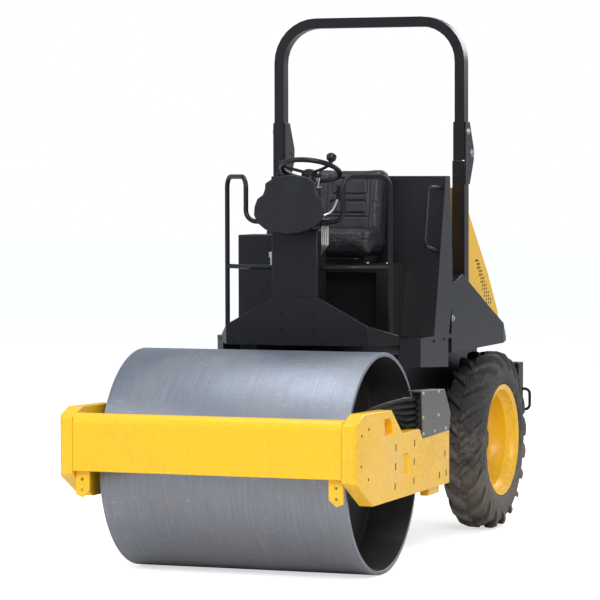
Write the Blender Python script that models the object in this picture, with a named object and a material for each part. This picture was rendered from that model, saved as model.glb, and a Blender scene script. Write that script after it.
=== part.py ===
"""Single-drum articulated road roller: a front yoke with a smooth steel drum, hinged to a rear tractor on two lug tyres.

Metres, +Z up. The machine faces -Y and its left side is +X. Ground is Z = 0, and the origin lies on the ground
under the middle of the machine. Sizes along Y are measured from the drum's axle, behind it positive.
"""

import math

import bmesh
import bpy
from mathutils import Matrix, Vector

# Driving dimensions
GAP = 0.0003  # between neighbours that touch
FRONT_REACH = 0.80  # drum axle to the front of the yoke
REAR_REACH = 2.88  # drum axle to the back of the bumper
DRUM_Y = (FRONT_REACH - REAR_REACH) / 2
SIDES = (("left", 1), ("right", -1))

DRUM_RADIUS = 0.585
DRUM_WIDTH = 1.37
DRUM_WALL = 0.022
DISC_INSET = 0.25  # drum end to the disc's outer face
DISC_THICK = 0.025
DRUM_BORE = 0.100

WHEELBASE = 2.22
TYRE_RADIUS = 0.525
TYRE_MIDDLE = 0.555
RIM_RADIUS = 0.305
RIM_HALF = 0.115
RIM_LIP = 0.33
RIM_SHEET = 0.012
DISH_INSET = 0.080  # wheel's middle to the inner face of its dish
HUB_RADIUS = 0.100

YOKE_HALF = 0.82
ARM_THICK = 0.08
BEAM_DEPTH = 0.10
BEAM_LOW = 0.575
BEAM_HIGH = 0.875
ARM_LOW = 0.42
ARM_REAR = 0.72
CROSS_DEPTH = 0.10
CROSS_LOW = 0.45
CROSS_HIGH = 0.70
GUARD_SHEET = 0.008

PIVOT_Y = 0.95
TONGUE_HALF = 0.10
TONGUE_LOW = 0.50
TONGUE_HIGH = 0.66
PIVOT_PIN = 0.0352
PIVOT_BORE = 0.036
LUG_THICK = 0.040

CYLINDER_X = 0.17
CYLINDER_Z = 0.58
CYLINDER_FRONT = 0.89
CYLINDER_REAR = 1.50
CYLINDER_EYE = 0.028
CYLINDER_PIN = 0.0118
CYLINDER_PIN_BORE = 0.0125
EYE_HALF = 0.030
EAR_THICK = 0.015
BARREL_RADIUS = 0.030
BARREL_BORE = 0.0195
BARREL_LENGTH = 0.38
ROD_RADIUS = 0.0187
ROD_INSIDE = 0.17

RAIL_INNER = 0.30
RAIL_OUTER = 0.36
RAIL_FRONT = 1.22
RAIL_REAR = 2.78
RAIL_LOW = 0.62
FENDER_LOW = 1.085
SPINE_HALF = 0.10

DECK_TOP = 1.195
DECK_SHEET = 0.025
DECK_REAR = 1.43
PLATFORM_HALF = 0.605
SKIRT_SHEET = 0.012
COWL_SHEET = 0.012
COWL_LOW = 1.165
COWL_TOP = 1.433
COWL_FALL = 0.541  # drop of its top edge for each metre outwards
COLUMN_HALF = 0.123
COLUMN_LEFT = 0.121
COLUMN_RIGHT = 0.150
COLUMN_DEPTH = 0.14
COLUMN_TOP = 1.80
POD_HALF = 0.135
POD_DEPTH = 0.15
SHIELD_THICK = 0.025
SHIELD_LEAN = math.radians(12)

WHEEL_CENTRE = (0, 0.76, 2.125)
WHEEL_LEAN = math.radians(-21)
WHEEL_RADIUS = 0.1625
GRIP_RADIUS = 0.0145

RAIL_TUBE = 0.0135
POST_X = 0.48
POST_Y = 0.716
POST_TOP = 2.09
LOOP_X = 0.284
LOOP_Y = 0.503
LOOP_LOW = 1.845
MIDRAIL_Z = 1.591

SEAT_X = 0.085
SEAT_HALF = 0.245
BACK_HALF = 0.225
SEAT_FRONT = 0.84
SEAT_LOW = 1.645
SEAT_TOP = 1.80
BACK_FRONT = 1.11
BACK_LOW = 1.66
BACK_TOP = 2.15
PEDESTAL_RIGHT = -0.22
PEDESTAL_LEFT = 0.41
PEDESTAL_FRONT = 0.95
PEDESTAL_TOP = 1.59
SEAT_PLATE = 0.015

BULKHEAD_FOOT = 1.11
BULKHEAD_TOP = 2.09
BULKHEAD_RAKE = 0.2371  # metres back for each metre up
BULKHEAD_REAR = 1.4447
HANDLE_SEAT = 0.0036  # clears the leaning face at the rim of its square end
CONSOLE_INNER = -0.25
CONSOLE_TOP = 1.754
CONSOLE_FRONT = 1.19

FENDER_HALF = 0.60
BAY_HALF = 0.485
BODY_REAR = 2.73
HOOD_HALF = 0.505
HOOD_SHEET = 0.012
HOOD_FRONT = 1.46
HOOD_TOP = 2.02
HOOD_REAR = 2.712  # clears its own hinge brackets
HOOD_PIVOT = (2.762, 1.112)
HOOD_PIN = 0.0095
HOOD_PIN_BORE = 0.0102

HOOP_HALF = 0.585
HOOP_TOP = 3.01
HOOP_WIDE = 0.058
HOOP_DEEP = 0.080
HOOP_FRONT = 1.725
HOOP_BEND = 0.26
HOOP_FOOT = 2.18
LEG_FLARE = 0.0135  # the fixed leg is wider than the hoop, on its inner side
CLEVIS_THICK = 0.009
CLEVIS_TOP = 2.40
FOLD_PIVOT = (1.84, 2.22)
FOLD_PIN = 0.0115
FOLD_BORE = 0.0121

BUMPER_DEPTH = 0.0997
BUMPER_HALF = 0.60
BUMPER_LOW = 0.55
BUMPER_HIGH = 0.947

FINISHES = {  # colour, roughness, metallic
    "yellow_paint": ((0.90, 0.58, 0.03), 0.45, 0.0),
    "black_paint": ((0.035, 0.035, 0.038), 0.45, 0.0),
    "grey_paint": ((0.16, 0.16, 0.16), 0.5, 0.0),
    "drum_steel": ((0.45, 0.45, 0.46), 0.4, 1.0),
    "cast_grey": ((0.08, 0.08, 0.08), 0.6, 0.2),
    "vinyl": ((0.02, 0.02, 0.022), 0.55, 0.0),
    "tyre_rubber": ((0.03, 0.03, 0.03), 0.85, 0.0),
    "hose_rubber": ((0.02, 0.02, 0.02), 0.6, 0.0),
    "chrome": ((0.8, 0.8, 0.8), 0.1, 1.0),
}


def clear_scene():
    for found in list(bpy.data.objects):
        bpy.data.objects.remove(found, do_unlink=True)


def finish_of(name):
    """The Principled material of that finish, made once."""
    found = bpy.data.materials.get(name)
    if found:
        return found
    made = bpy.data.materials.new(name)
    made.use_nodes = True
    shader = made.node_tree.nodes["Principled BSDF"]
    colour, roughness, metallic = FINISHES[name]
    shader.inputs["Base Color"].default_value = (*colour, 1)
    shader.inputs["Roughness"].default_value = roughness
    shader.inputs["Metallic"].default_value = metallic
    return made


def place_of(carrier):
    """Where a carrier lies, measured from the drum axle's ground point."""
    place = Vector()
    while carrier.parent:
        place += carrier.location
        carrier = carrier.parent
    return place


def carrier(name, at, under=None):
    """An empty that carries the objects of one rigid body, on its joint's axis."""
    made = bpy.data.objects.new(name, None)
    bpy.context.scene.collection.objects.link(made)
    made.parent = under
    made.location = Vector(at) - (place_of(under) if under else Vector())
    return made


# Shapes


def closed(shape):
    """The shape with its doubles merged and its faces pointing out."""
    bmesh.ops.remove_doubles(shape, verts=shape.verts, dist=0.00001)
    bmesh.ops.recalc_face_normals(shape, faces=shape.faces)
    return shape


def block(low, high):
    shape = bmesh.new()
    bmesh.ops.create_cube(shape, size=1)
    low, high = Vector(map(min, low, high)), Vector(map(max, low, high))
    bmesh.ops.scale(shape, vec=high - low, verts=shape.verts)
    bmesh.ops.translate(shape, vec=(low + high) / 2, verts=shape.verts)
    return shape


def prism(outline, axis, low, high):
    """An outline of (Y, Z), (X, Z) or (X, Y) points, extruded along X, Y or Z from low to high."""
    low, high = min(low, high), max(low, high)
    shape = bmesh.new()
    index = "XYZ".index(axis)
    corners = [Vector((*point[:index], low, *point[index:])) for point in outline]
    face = shape.faces.new([shape.verts.new(corner) for corner in corners])
    raised = bmesh.ops.extrude_face_region(shape, geom=[face])["geom"]
    along = Vector((0, 0, 0))
    along[index] = high - low
    moved = [item for item in raised if isinstance(item, bmesh.types.BMVert)]
    bmesh.ops.translate(shape, vec=along, verts=moved)
    return closed(shape)


def turned(profile, segments, side=1):
    """A profile of (along X, radius) points spun about X. One that starts and ends on the axis is left open there."""
    shape = bmesh.new()
    points = [shape.verts.new((side * along, 0, radius)) for along, radius in profile]
    ring = points if profile[0][1] == 0 else points + points[:1]
    edges = [shape.edges.new(pair) for pair in zip(ring, ring[1:])]
    bmesh.ops.spin(
        shape,
        geom=points + edges,
        axis=(1, 0, 0),
        cent=(0, 0, 0),
        angle=math.tau,
        steps=segments,
        use_merge=True,
    )
    return closed(shape)


def upright(shape):
    """The same shape with its X axis turned to point up."""
    bmesh.ops.rotate(shape, verts=shape.verts, matrix=Matrix.Rotation(-math.pi / 2, 3, "Y"))
    return shape


def rod(radius, low, high, segments=24):
    """A plain cylinder about X."""
    return turned(((low, 0), (low, radius), (high, radius), (high, 0)), segments)


def rounded(corners, radius, steps=5):
    """A path through these corners, each inner one replaced by an arc of that radius."""
    points = [Vector(corner) for corner in corners]
    path = [points[0]]
    for before, corner, after in zip(points, points[1:], points[2:]):
        back, ahead = (before - corner).normalized(), (after - corner).normalized()
        half = back.angle(ahead) / 2
        reach = radius / math.tan(half)
        centre = corner + (back + ahead).normalized() * radius / math.sin(half)
        start = (corner + back * reach - centre).normalized()
        end = (corner + ahead * reach - centre).normalized()
        path += [centre + start.slerp(end, step / steps) * radius for step in range(steps + 1)]
    return path + [points[-1]]


def offset(path, distance):
    """An XY path moved to its left by that distance, with mitred corners."""
    points = [Vector(point[:2]) for point in path]
    runs = [(b - a).normalized() for a, b in zip(points, points[1:])]
    moved = []
    for point, before, after in zip(points, runs[:1] + runs, runs + runs[-1:]):
        across = (Vector((-before.y, before.x)) + Vector((-after.y, after.x))).normalized()
        moved.append(point + across * distance / across.dot(Vector((-before.y, before.x))))
    return moved


def band(path, width):
    """The outline of a strip of that width along the left of a path."""
    return [Vector(point[:2]) for point in path] + offset(path, width)[::-1]


def through(points, steps):
    """A smooth path through these points."""
    points = [Vector(point) for point in points]
    padded = [2 * points[0] - points[1], *points, 2 * points[-1] - points[-2]]
    path = []
    for a, b, c, d in zip(padded, padded[1:], padded[2:], padded[3:]):
        for step in range(steps):
            t = step / steps
            path.append(0.5 * (2 * b + (c - a) * t + (2 * a - 5 * b + 4 * c - d) * t**2
                               + (3 * b - a - 3 * c + d) * t**3))
    return path + [points[-1]]


def tube(path, radius, around=2):
    """A round tube along a path, closed at both ends; around sets its sides, 4 + 2 * around."""
    curve = bpy.data.curves.new("route", "CURVE")
    curve.dimensions = "3D"
    curve.bevel_depth = radius
    curve.bevel_resolution = around
    curve.use_fill_caps = True
    spline = curve.splines.new("POLY")
    spline.points.add(len(path) - 1)
    for point, place in zip(spline.points, path):
        point.co = (*place, 1)
    helper = bpy.data.objects.new("route", curve)
    shape = bmesh.new()
    shape.from_mesh(bpy.data.meshes.new_from_object(helper))
    bpy.data.objects.remove(helper)
    return closed(shape)


# Objects


def solid(name, shape, finish, under, at=(0, 0, 0), turn=(0, 0, 0)):
    """A finished object; at is measured from the drum axle's ground point, as every shape is."""
    mesh = bpy.data.meshes.new(name)
    shape.to_mesh(mesh)
    shape.free()
    mesh.materials.append(finish_of(finish))
    mesh.shade_smooth()
    mesh.set_sharp_from_angle(angle=math.radians(35))
    made = bpy.data.objects.new(name, mesh)
    bpy.context.scene.collection.objects.link(made)
    made.parent = under
    made.location = Vector(at) - place_of(under)
    made.rotation_euler = turn
    return made


def combine(target, shape, operation, at=(0, 0, 0), turn=(0, 0, 0)):
    """Joins the shape to the target, cuts it out, or keeps what they share."""
    helper = solid(f"{target.name}_{operation.lower()}", shape, "grey_paint", target.parent, at, turn)
    helper.hide_render = True
    helper.display_type = "WIRE"
    change = target.modifiers.new(operation.title(), "BOOLEAN")
    change.operation = operation
    change.object = helper
    return target


def join(target, *shapes, at=(0, 0, 0), turn=(0, 0, 0)):
    for shape in shapes:
        combine(target, shape, "UNION", at, turn)


def cut(target, *shapes, at=(0, 0, 0), turn=(0, 0, 0)):
    for shape in shapes:
        combine(target, shape, "DIFFERENCE", at, turn)


def soften(target, width, segments=2):
    edge = target.modifiers.new("Rounding", "BEVEL")
    edge.width = width
    edge.segments = segments
    edge.limit_method = "ANGLE"
    edge.angle_limit = math.radians(40)


# Front frame

ARM_OUTLINE = (  # Y, Z
    (-FRONT_REACH, 0.56),
    (-0.54, ARM_LOW),
    (ARM_REAR, ARM_LOW),
    (ARM_REAR, 0.71),
    (0.26, 0.70),
    (0.21, 0.755),
    (-0.07, 0.755),
    (-0.25, 0.89),
    (-0.67, 0.90),
    (-FRONT_REACH, 0.85),
)
SLOT = ((-0.36, 0.762), (-0.22, 0.762), (-0.235, 0.82), (-0.28, 0.85), (-0.36, 0.85))
POCKET = ((-0.098, 0.532), (0.034, 0.532), (0.034, 0.645), (-0.07, 0.645), (-0.098, 0.62))
GUARD_OUTLINE = ((0.26, 0.7003), (0.72, 0.7103), (0.745, 0.80), (0.64, 0.938), (0.24, 0.957))
GUARD_HOLLOW = ((0.20, 0.715), (0.712, 0.724), (0.733, 0.80), (0.635, 0.930), (0.20, 0.949))


def front_beam(frame):
    half = YOKE_HALF - ARM_THICK - GAP
    rear = -FRONT_REACH + BEAM_DEPTH
    shape = block((-half, -FRONT_REACH, BEAM_LOW), (half, rear, BEAM_HIGH))
    top = [edge for edge in shape.edges if all(v.co.z == BEAM_HIGH for v in edge.verts)]
    long_top = [edge for edge in top if abs(edge.verts[0].co.x - edge.verts[1].co.x) > half]
    bmesh.ops.bevel(shape, geom=long_top, offset=0.05, segments=4, profile=0.5, affect="EDGES")
    solid("front_beam", shape, "yellow_paint", frame)


def side_arm(frame, word, side):
    inner = YOKE_HALF - ARM_THICK
    shape = prism(ARM_OUTLINE, "X", side * inner, side * YOKE_HALF)
    corner = [
        edge
        for edge in shape.edges
        if all(v.co.y < -FRONT_REACH + 0.001 and abs(v.co.x) > inner + 0.01 for v in edge.verts)
    ]
    bmesh.ops.bevel(shape, geom=corner, offset=0.04, segments=4, profile=0.5, affect="EDGES")
    arm = solid(f"side_arm_{word}", shape, "yellow_paint", frame)
    cut(arm, prism(SLOT, "X", side * (YOKE_HALF - 0.05), side * (YOKE_HALF + 0.05)))
    cut(arm, prism(POCKET, "X", side * (YOKE_HALF - 0.012), side * (YOKE_HALF + 0.05)))


def hose_guard(frame, word, side):
    inner = YOKE_HALF - ARM_THICK + 0.002
    guard = solid(
        f"hose_guard_{word}",
        prism(GUARD_OUTLINE, "X", side * inner, side * YOKE_HALF),
        "grey_paint",
        frame,
    )
    cut(guard, prism(GUARD_HOLLOW, "X", side * (inner - 0.05), side * (YOKE_HALF - GUARD_SHEET)))


def drum_mount(frame, word, side):
    face = YOKE_HALF - ARM_THICK - GAP
    disc_face = DRUM_WIDTH / 2 - DISC_INSET
    profile = (
        (face, 0),
        (face, 0.165),
        (face - 0.025, 0.165),
        (face - 0.05, 0.14),
        (disc_face + 0.075, 0.14),
        (disc_face + 0.075, 0.20),
        (disc_face + 0.045, 0.20),
        (disc_face + 0.045, DRUM_BORE - 0.0006),
        (disc_face - DISC_THICK - 0.02, DRUM_BORE - 0.0006),
        (disc_face - DISC_THICK - 0.02, 0),
    )
    solid(f"drum_mount_{word}", turned(profile, 28, side), "cast_grey", frame, (0, 0, DRUM_RADIUS))


def hoses(frame, word, side):
    """Five hoses from a manifold on the drum mount, up over the side arm and into the guard, with their clamp."""
    seat = DRUM_RADIUS + 0.14 + GAP
    bundle = solid(
        f"hoses_{word}",
        block((side * 0.585, -0.31, seat), (side * 0.645, 0.05, seat + 0.04)),
        "hose_rubber",
        frame,
    )
    for count in range(5):
        start = -0.28 + 0.07 * count
        level = 0.912 - 0.034 * count
        route = (
            (side * 0.615, start, seat + 0.02),
            (side * 0.62, start + 0.01, seat + 0.075),
            (side * (0.66 + 0.004 * count), start + 0.10, 0.872 - 0.008 * count),
            (side * 0.745, 0.10 + 0.012 * count, level),
            (side * 0.775, 0.20, level),
            (side * 0.777, 0.30, level),
        )
        join(bundle, tube(through(route, 3), 0.0125, 1))
    join(bundle, block((side * 0.752, 0.285, 0.755), (side * 0.80, 0.315, 0.93)))


def yoke_crossmember(frame):
    half = YOKE_HALF - ARM_THICK - GAP
    front = ARM_REAR - CROSS_DEPTH
    cross = solid(
        "yoke_crossmember",
        block((-half, front, CROSS_LOW), (half, ARM_REAR, CROSS_HIGH)),
        "yellow_paint",
        frame,
    )
    nose = [
        (TONGUE_HALF * math.cos(math.pi * step / 12), PIVOT_Y + TONGUE_HALF * math.sin(math.pi * step / 12))
        for step in range(13)
    ]
    tongue = [(TONGUE_HALF, ARM_REAR - 0.02), *nose, (-TONGUE_HALF, ARM_REAR - 0.02)]
    join(cross, prism(tongue, "Z", TONGUE_LOW, TONGUE_HIGH))
    for low in (CYLINDER_Z - EYE_HALF - EAR_THICK, CYLINDER_Z + EYE_HALF):
        ear = block(
            (TONGUE_HALF - 0.01, CYLINDER_FRONT - 0.045, low),
            (CYLINDER_X + 0.035, CYLINDER_FRONT + 0.035, low + EAR_THICK),
        )
        join(cross, ear)
    bore = upright(rod(PIVOT_BORE, TONGUE_LOW - 0.01, TONGUE_HIGH + 0.01))
    cut(cross, bore, at=(0, PIVOT_Y, 0))


def front_bracket(frame, word, side):
    """A two-hole plate that hangs under the end of the beam, inside the arm."""
    high = BEAM_LOW - GAP
    plate = [(side * x, z) for x, z in ((0.66, high), (0.735, high), (0.735, 0.45), (0.70, 0.435), (0.66, 0.47))]
    bracket = solid(f"front_bracket_{word}", prism(plate, "Y", -0.765, -0.749), "yellow_paint", frame)
    for height in (0.53, 0.475):
        hole = rod(0.009, -0.02, 0.02, 12)
        cut(bracket, hole, at=(side * 0.70, -0.757, height), turn=(0, 0, math.pi / 2))


def rear_bracket(frame, word, side):
    bracket = solid(
        f"rear_bracket_{word}",
        block((side * 0.755, 0.40, 0.378), (side * 0.805, 0.59, ARM_LOW - GAP)),
        "yellow_paint",
        frame,
    )
    soften(bracket, 0.004, 1)


def drum(body):
    end = DRUM_WIDTH / 2
    inner = DRUM_RADIUS - DRUM_WALL
    out = end - DISC_INSET
    back = out - DISC_THICK
    half = ((end, DRUM_RADIUS - 0.004), (end, inner), (out, inner), (out, DRUM_BORE), (back, DRUM_BORE), (back, inner))
    right = [(-x, radius) for x, radius in half[::-1]]
    profile = [(end - 0.004, DRUM_RADIUS), *half, *right, (0.004 - end, DRUM_RADIUS)]
    solid("drum", turned(profile, 48), "drum_steel", body, (0, 0, DRUM_RADIUS))


# Rear frame


def rear_frame(root):
    outline = (
        (RAIL_FRONT, 0.46),
        (1.60, 0.46),
        (1.75, RAIL_LOW),
        (RAIL_REAR - GAP, RAIL_LOW),
        (RAIL_REAR - GAP, 0.94),
        (2.70, 0.94),
        (2.70, FENDER_LOW - GAP),
        (RAIL_FRONT, FENDER_LOW - GAP),
    )
    frame = solid("rear_frame", prism(outline, "X", RAIL_INNER, RAIL_OUTER), "black_paint", root)
    join(frame, prism(outline, "X", -RAIL_OUTER, -RAIL_INNER))
    across = RAIL_INNER + 0.01
    join(
        frame,
        block((-across, RAIL_FRONT + 0.005, 0.69), (across, RAIL_FRONT + 0.045, 1.06)),
        block((-across, 1.30, 0.465), (across, 1.58, 0.485)),
        block((-across, 1.555, 0.47), (across, 1.595, 0.715)),
        block((-across, 2.70, 0.64), (across, 2.765, 0.925)),
        block((-SPINE_HALF, 1.07, 0.47), (SPINE_HALF, 1.45, 0.72)),
    )
    nose = [
        (TONGUE_HALF * math.cos(math.pi * step / 12), PIVOT_Y - TONGUE_HALF * math.sin(math.pi * step / 12))
        for step in range(13)
    ]
    lug = [(TONGUE_HALF - 0.003, 1.12), *nose, (-TONGUE_HALF + 0.003, 1.12)]
    join(frame, prism(lug, "Z", TONGUE_HIGH + GAP, TONGUE_HIGH + LUG_THICK))
    join(frame, prism(lug, "Z", TONGUE_LOW - LUG_THICK, TONGUE_LOW - GAP))
    pin = upright(rod(PIVOT_PIN, TONGUE_LOW - LUG_THICK - 0.02, TONGUE_HIGH + LUG_THICK + 0.02))
    join(frame, pin, at=(0, PIVOT_Y, 0))
    low, high = CYLINDER_Z - EYE_HALF, CYLINDER_Z + EYE_HALF
    for bottom in (low - EAR_THICK, high):
        join(
            frame,
            block((CYLINDER_X - 0.045, CYLINDER_REAR - 0.04, bottom), (CYLINDER_X + 0.045, 1.57, bottom + EAR_THICK)),
        )
    anchor = upright(rod(CYLINDER_PIN, low - EAR_THICK - 0.006, high + EAR_THICK + 0.006, 16))
    join(frame, anchor, at=(CYLINDER_X, CYLINDER_REAR, 0))


def rear_axle(root):
    end = TYRE_MIDDLE - DISH_INSET - GAP
    profile = ((0, 0.15), (0.06, 0.145), (0.13, 0.09), (0.20, 0.075), (0.40, 0.075), (0.40, 0.11), (end, 0.11), (end, 0))
    whole = [(-x, radius) for x, radius in profile[::-1]][:-1] + list(profile)
    axle = solid("rear_axle", turned(whole, 20), "cast_grey", root, (0, WHEELBASE, TYRE_RADIUS))
    for side in (1, -1):
        pad = block(
            (side * (RAIL_INNER - 0.01), WHEELBASE - 0.09, TYRE_RADIUS + 0.02),
            (side * (RAIL_OUTER + 0.01), WHEELBASE + 0.09, RAIL_LOW - GAP),
        )
        join(axle, pad)


def engine_block(root):
    engine = solid("engine_block", block((-0.22, 1.66, 0.70), (0.22, 2.36, 1.38)), "cast_grey", root)
    for start in (1.74, 2.24):
        reach = RAIL_INNER - GAP
        join(engine, block((-reach, start, 0.80), (reach, start + 0.06, 0.87)))


COWL_PATH = ((-0.523, 0.739), (-0.415, 0.53), (0.415, 0.53), (0.523, 0.739))
DECK_CORNER = (PLATFORM_HALF, 0.87)


def deck(root):
    """The floor plate, its beams down to the rails and the side skirts."""
    front = offset(COWL_PATH, COWL_SHEET + GAP)
    wing = Vector(COWL_PATH[3])
    outline = [
        *front,
        (wing.x, wing.y + 0.012),
        DECK_CORNER,
        (PLATFORM_HALF, DECK_REAR),
        (-PLATFORM_HALF, DECK_REAR),
        (-DECK_CORNER[0], DECK_CORNER[1]),
        (-wing.x, wing.y + 0.012),
    ]
    plate = solid("deck", prism(outline, "Z", DECK_TOP - DECK_SHEET, DECK_TOP), "black_paint", root)
    for side in (1, -1):
        join(plate, block((side * 0.26, 0.60, FENDER_LOW), (side * RAIL_OUTER, DECK_REAR - 0.005, DECK_TOP - 0.005)))
        edge = [(side * wing.x, wing.y + 0.014), (side * (PLATFORM_HALF - 0.0005), 0.872)]
        edge.append((side * (PLATFORM_HALF - 0.0005), DECK_REAR - 0.06))
        strip = band(edge, side * SKIRT_SHEET)
        skirt = prism(strip, "Z", 1.0, DECK_TOP - 0.01)
        bmesh.ops.bisect_plane(
            skirt,
            geom=skirt.verts[:] + skirt.edges[:] + skirt.faces[:],
            plane_co=(0, 0.739, 1.044),
            plane_no=(0, -0.055, -1),
            clear_outer=True,
        )
        bmesh.ops.holes_fill(skirt, edges=skirt.edges)
        join(plate, closed(skirt))


def cowl(root):
    """The folded sheet round the front of the footwell, whose top edge falls away on both sides."""
    shape = prism(band(COWL_PATH, COWL_SHEET), "Z", COWL_LOW, COWL_TOP)
    for side in (1, -1):
        bmesh.ops.bisect_plane(
            shape,
            geom=shape.verts[:] + shape.edges[:] + shape.faces[:],
            plane_co=(side * COLUMN_HALF, 0, COWL_TOP),
            plane_no=(side * COWL_FALL, 0, 1),
            clear_outer=True,
        )
        bmesh.ops.holes_fill(shape, edges=shape.edges)
    solid("cowl", closed(shape), "black_paint", root)


def console_column(root):
    front = COWL_PATH[1][1] + COWL_SHEET + GAP
    column = block((-COLUMN_RIGHT, front, DECK_TOP + GAP), (COLUMN_LEFT, front + COLUMN_DEPTH, COLUMN_TOP - GAP))
    solid("console_column", column, "black_paint", root)


SHIELD_HALF = (  # X, Z
    (0.0, 1.772),
    (0.074, 1.781),
    (0.13, 1.80),
    (0.178, 1.835),
    (0.201, 1.88),
    (0.201, 1.925),
    (0.188, 1.968),
    (0.158, 1.99),
    (0.148, 2.02),
    (0.148, 2.055),
    (0.095, 2.09),
    (0.0, 2.104),
)


def console_pod(root):
    """The instrument head: a curved shield in front, a box behind it and the steering boss on top."""
    right = [(-x, z) for x, z in SHIELD_HALF[-2:0:-1]]
    outline = [(x, z - 1.94) for x, z in (*SHIELD_HALF, *right)]
    front = 0.43
    pod = solid(
        "console_pod",
        block((-POD_HALF, front + 0.005, COLUMN_TOP), (POD_HALF, front + POD_DEPTH, 2.04)),
        "black_paint",
        root,
    )
    shield = prism(outline, "Y", -SHIELD_THICK / 2, SHIELD_THICK / 2)
    join(pod, shield, at=(0, front, 1.94), turn=(-SHIELD_LEAN, 0, 0))
    join(pod, block((-0.06, front + 0.10, COLUMN_TOP), (0.06, front + 0.23, COLUMN_TOP + 0.06)))
    boss = upright(turned(((-0.325, 0), (-0.325, 0.05), (-0.055, 0.055), (-0.042, 0.048), (-0.042, 0)), 24))
    join(pod, boss, at=WHEEL_CENTRE, turn=(WHEEL_LEAN, 0, 0))


def steering_wheel(body):
    ring = [
        (GRIP_RADIUS * math.cos(math.tau * step / 6), WHEEL_RADIUS + GRIP_RADIUS * math.sin(math.tau * step / 6))
        for step in range(6)
    ]
    wheel = solid("steering_wheel", upright(turned(ring, 24)), "vinyl", body, WHEEL_CENTRE, (WHEEL_LEAN, 0, 0))
    hub = upright(turned(((-0.0417, 0), (-0.0417, 0.048), (-0.02, 0.048), (-0.004, 0.034), (-0.004, 0)), 24))
    join(wheel, hub, at=WHEEL_CENTRE, turn=(WHEEL_LEAN, 0, 0))
    for angle in (90, 210, 330):
        heading = math.radians(angle)
        along = Vector((math.cos(heading), math.sin(heading), 0))
        spoke = tube([along * 0.02 - Vector((0, 0, 0.018)), along * 0.10 - Vector((0, 0, 0.012)), along * WHEEL_RADIUS], 0.008, 1)
        join(wheel, spoke, at=WHEEL_CENTRE, turn=(WHEEL_LEAN, 0, 0))
    knob = upright(turned(((0, 0), (0, 0.011), (0.02, 0.012), (0.034, 0.027), (0.056, 0.029), (0.068, 0.018), (0.068, 0)), 16))
    bmesh.ops.translate(knob, vec=(0.143, -0.077, 0), verts=knob.verts)
    join(wheel, knob, at=WHEEL_CENTRE, turn=(WHEEL_LEAN, 0, 0))


def handrail(root, word, side):
    """The outer post with its loop over to the instrument head, and the bar at knee height."""
    foot = DECK_TOP + GAP
    corners = (
        (side * POST_X, POST_Y, foot),
        (side * POST_X, POST_Y, POST_TOP),
        (side * LOOP_X, LOOP_Y, POST_TOP),
        (side * LOOP_X, LOOP_Y, LOOP_LOW),
        (side * (POD_HALF + GAP), LOOP_Y, LOOP_LOW),
    )
    rail = solid(f"handrail_{word}", tube(rounded(corners, 0.06), RAIL_TUBE), "black_paint", root)
    reach = (COLUMN_LEFT if side > 0 else COLUMN_RIGHT) + GAP
    bar = ((side * POST_X, POST_Y, MIDRAIL_Z), (side * 0.30, 0.60, MIDRAIL_Z), (side * reach, 0.60, MIDRAIL_Z))
    join(rail, tube(rounded(bar, 0.06, 3), RAIL_TUBE * 0.93))


def face_y(height):
    """Where the bulkhead's leaning front face lies at that height."""
    return BULKHEAD_FOOT + (height - DECK_TOP) * BULKHEAD_RAKE


def seat_pedestal(root):
    """The box under the seat, its top plate and the seat's slides."""
    foot, shelf = DECK_TOP + GAP, PEDESTAL_TOP
    slack = 0.0005
    outline = (
        (PEDESTAL_FRONT, foot),
        (face_y(foot) - slack, foot),
        (face_y(shelf) - slack, shelf),
        (PEDESTAL_FRONT, shelf),
    )
    pedestal = solid("seat_pedestal", prism(outline, "X", PEDESTAL_RIGHT, PEDESTAL_LEFT), "black_paint", root)
    cut(pedestal, block((PEDESTAL_RIGHT + 0.08, 0.90, 1.24), (PEDESTAL_LEFT - 0.092, 1.08, 1.555)))
    plate = (
        (PEDESTAL_FRONT - 0.02, shelf - 0.005),
        (face_y(shelf) - 0.002, shelf - 0.005),
        (face_y(shelf) - 0.002, shelf + SEAT_PLATE),
        (PEDESTAL_FRONT - 0.02, shelf + SEAT_PLATE),
    )
    join(pedestal, prism(plate, "X", PEDESTAL_RIGHT - 0.01, PEDESTAL_LEFT + 0.004))
    join(pedestal, block((SEAT_X - 0.16, 0.96, shelf + 0.005), (SEAT_X + 0.16, 1.17, SEAT_LOW - GAP)))


def seat(root):
    cushion = block((SEAT_X - SEAT_HALF, SEAT_FRONT, SEAT_LOW), (SEAT_X + SEAT_HALF, BACK_FRONT - GAP, SEAT_TOP))
    soften(solid("seat_cushion", cushion, "vinyl", root), 0.03, 3)
    outline = ((BACK_FRONT, BACK_LOW), (BACK_FRONT + 0.105, BACK_LOW), (1.29, BACK_TOP - 0.015), (1.18, BACK_TOP), (BACK_FRONT, SEAT_TOP))
    back = prism(outline, "X", SEAT_X - BACK_HALF, SEAT_X + BACK_HALF)
    soften(solid("seat_back", back, "vinyl", root), 0.03, 3)


def bulkhead(root):
    """The tank behind and to the left of the seat, with its leaning front face."""
    foot = DECK_TOP + GAP
    outline = (
        (face_y(foot), foot),
        (1.38, foot),
        (BULKHEAD_REAR, 1.40),
        (BULKHEAD_REAR, 1.60),
        (1.40, BULKHEAD_TOP),
        (face_y(BULKHEAD_TOP), BULKHEAD_TOP),
    )
    tank = solid("bulkhead", prism(outline, "X", CONSOLE_INNER + GAP, PLATFORM_HALF), "black_paint", root)
    low = CONSOLE_TOP + 0.004
    upper = (
        (face_y(low), low),
        (BULKHEAD_REAR - 0.016, low),
        (1.395, BULKHEAD_TOP - 0.002),
        (face_y(BULKHEAD_TOP) + 0.002, BULKHEAD_TOP - 0.002),
    )
    join(tank, prism(upper, "X", -0.45, CONSOLE_INNER + 0.05))


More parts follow.
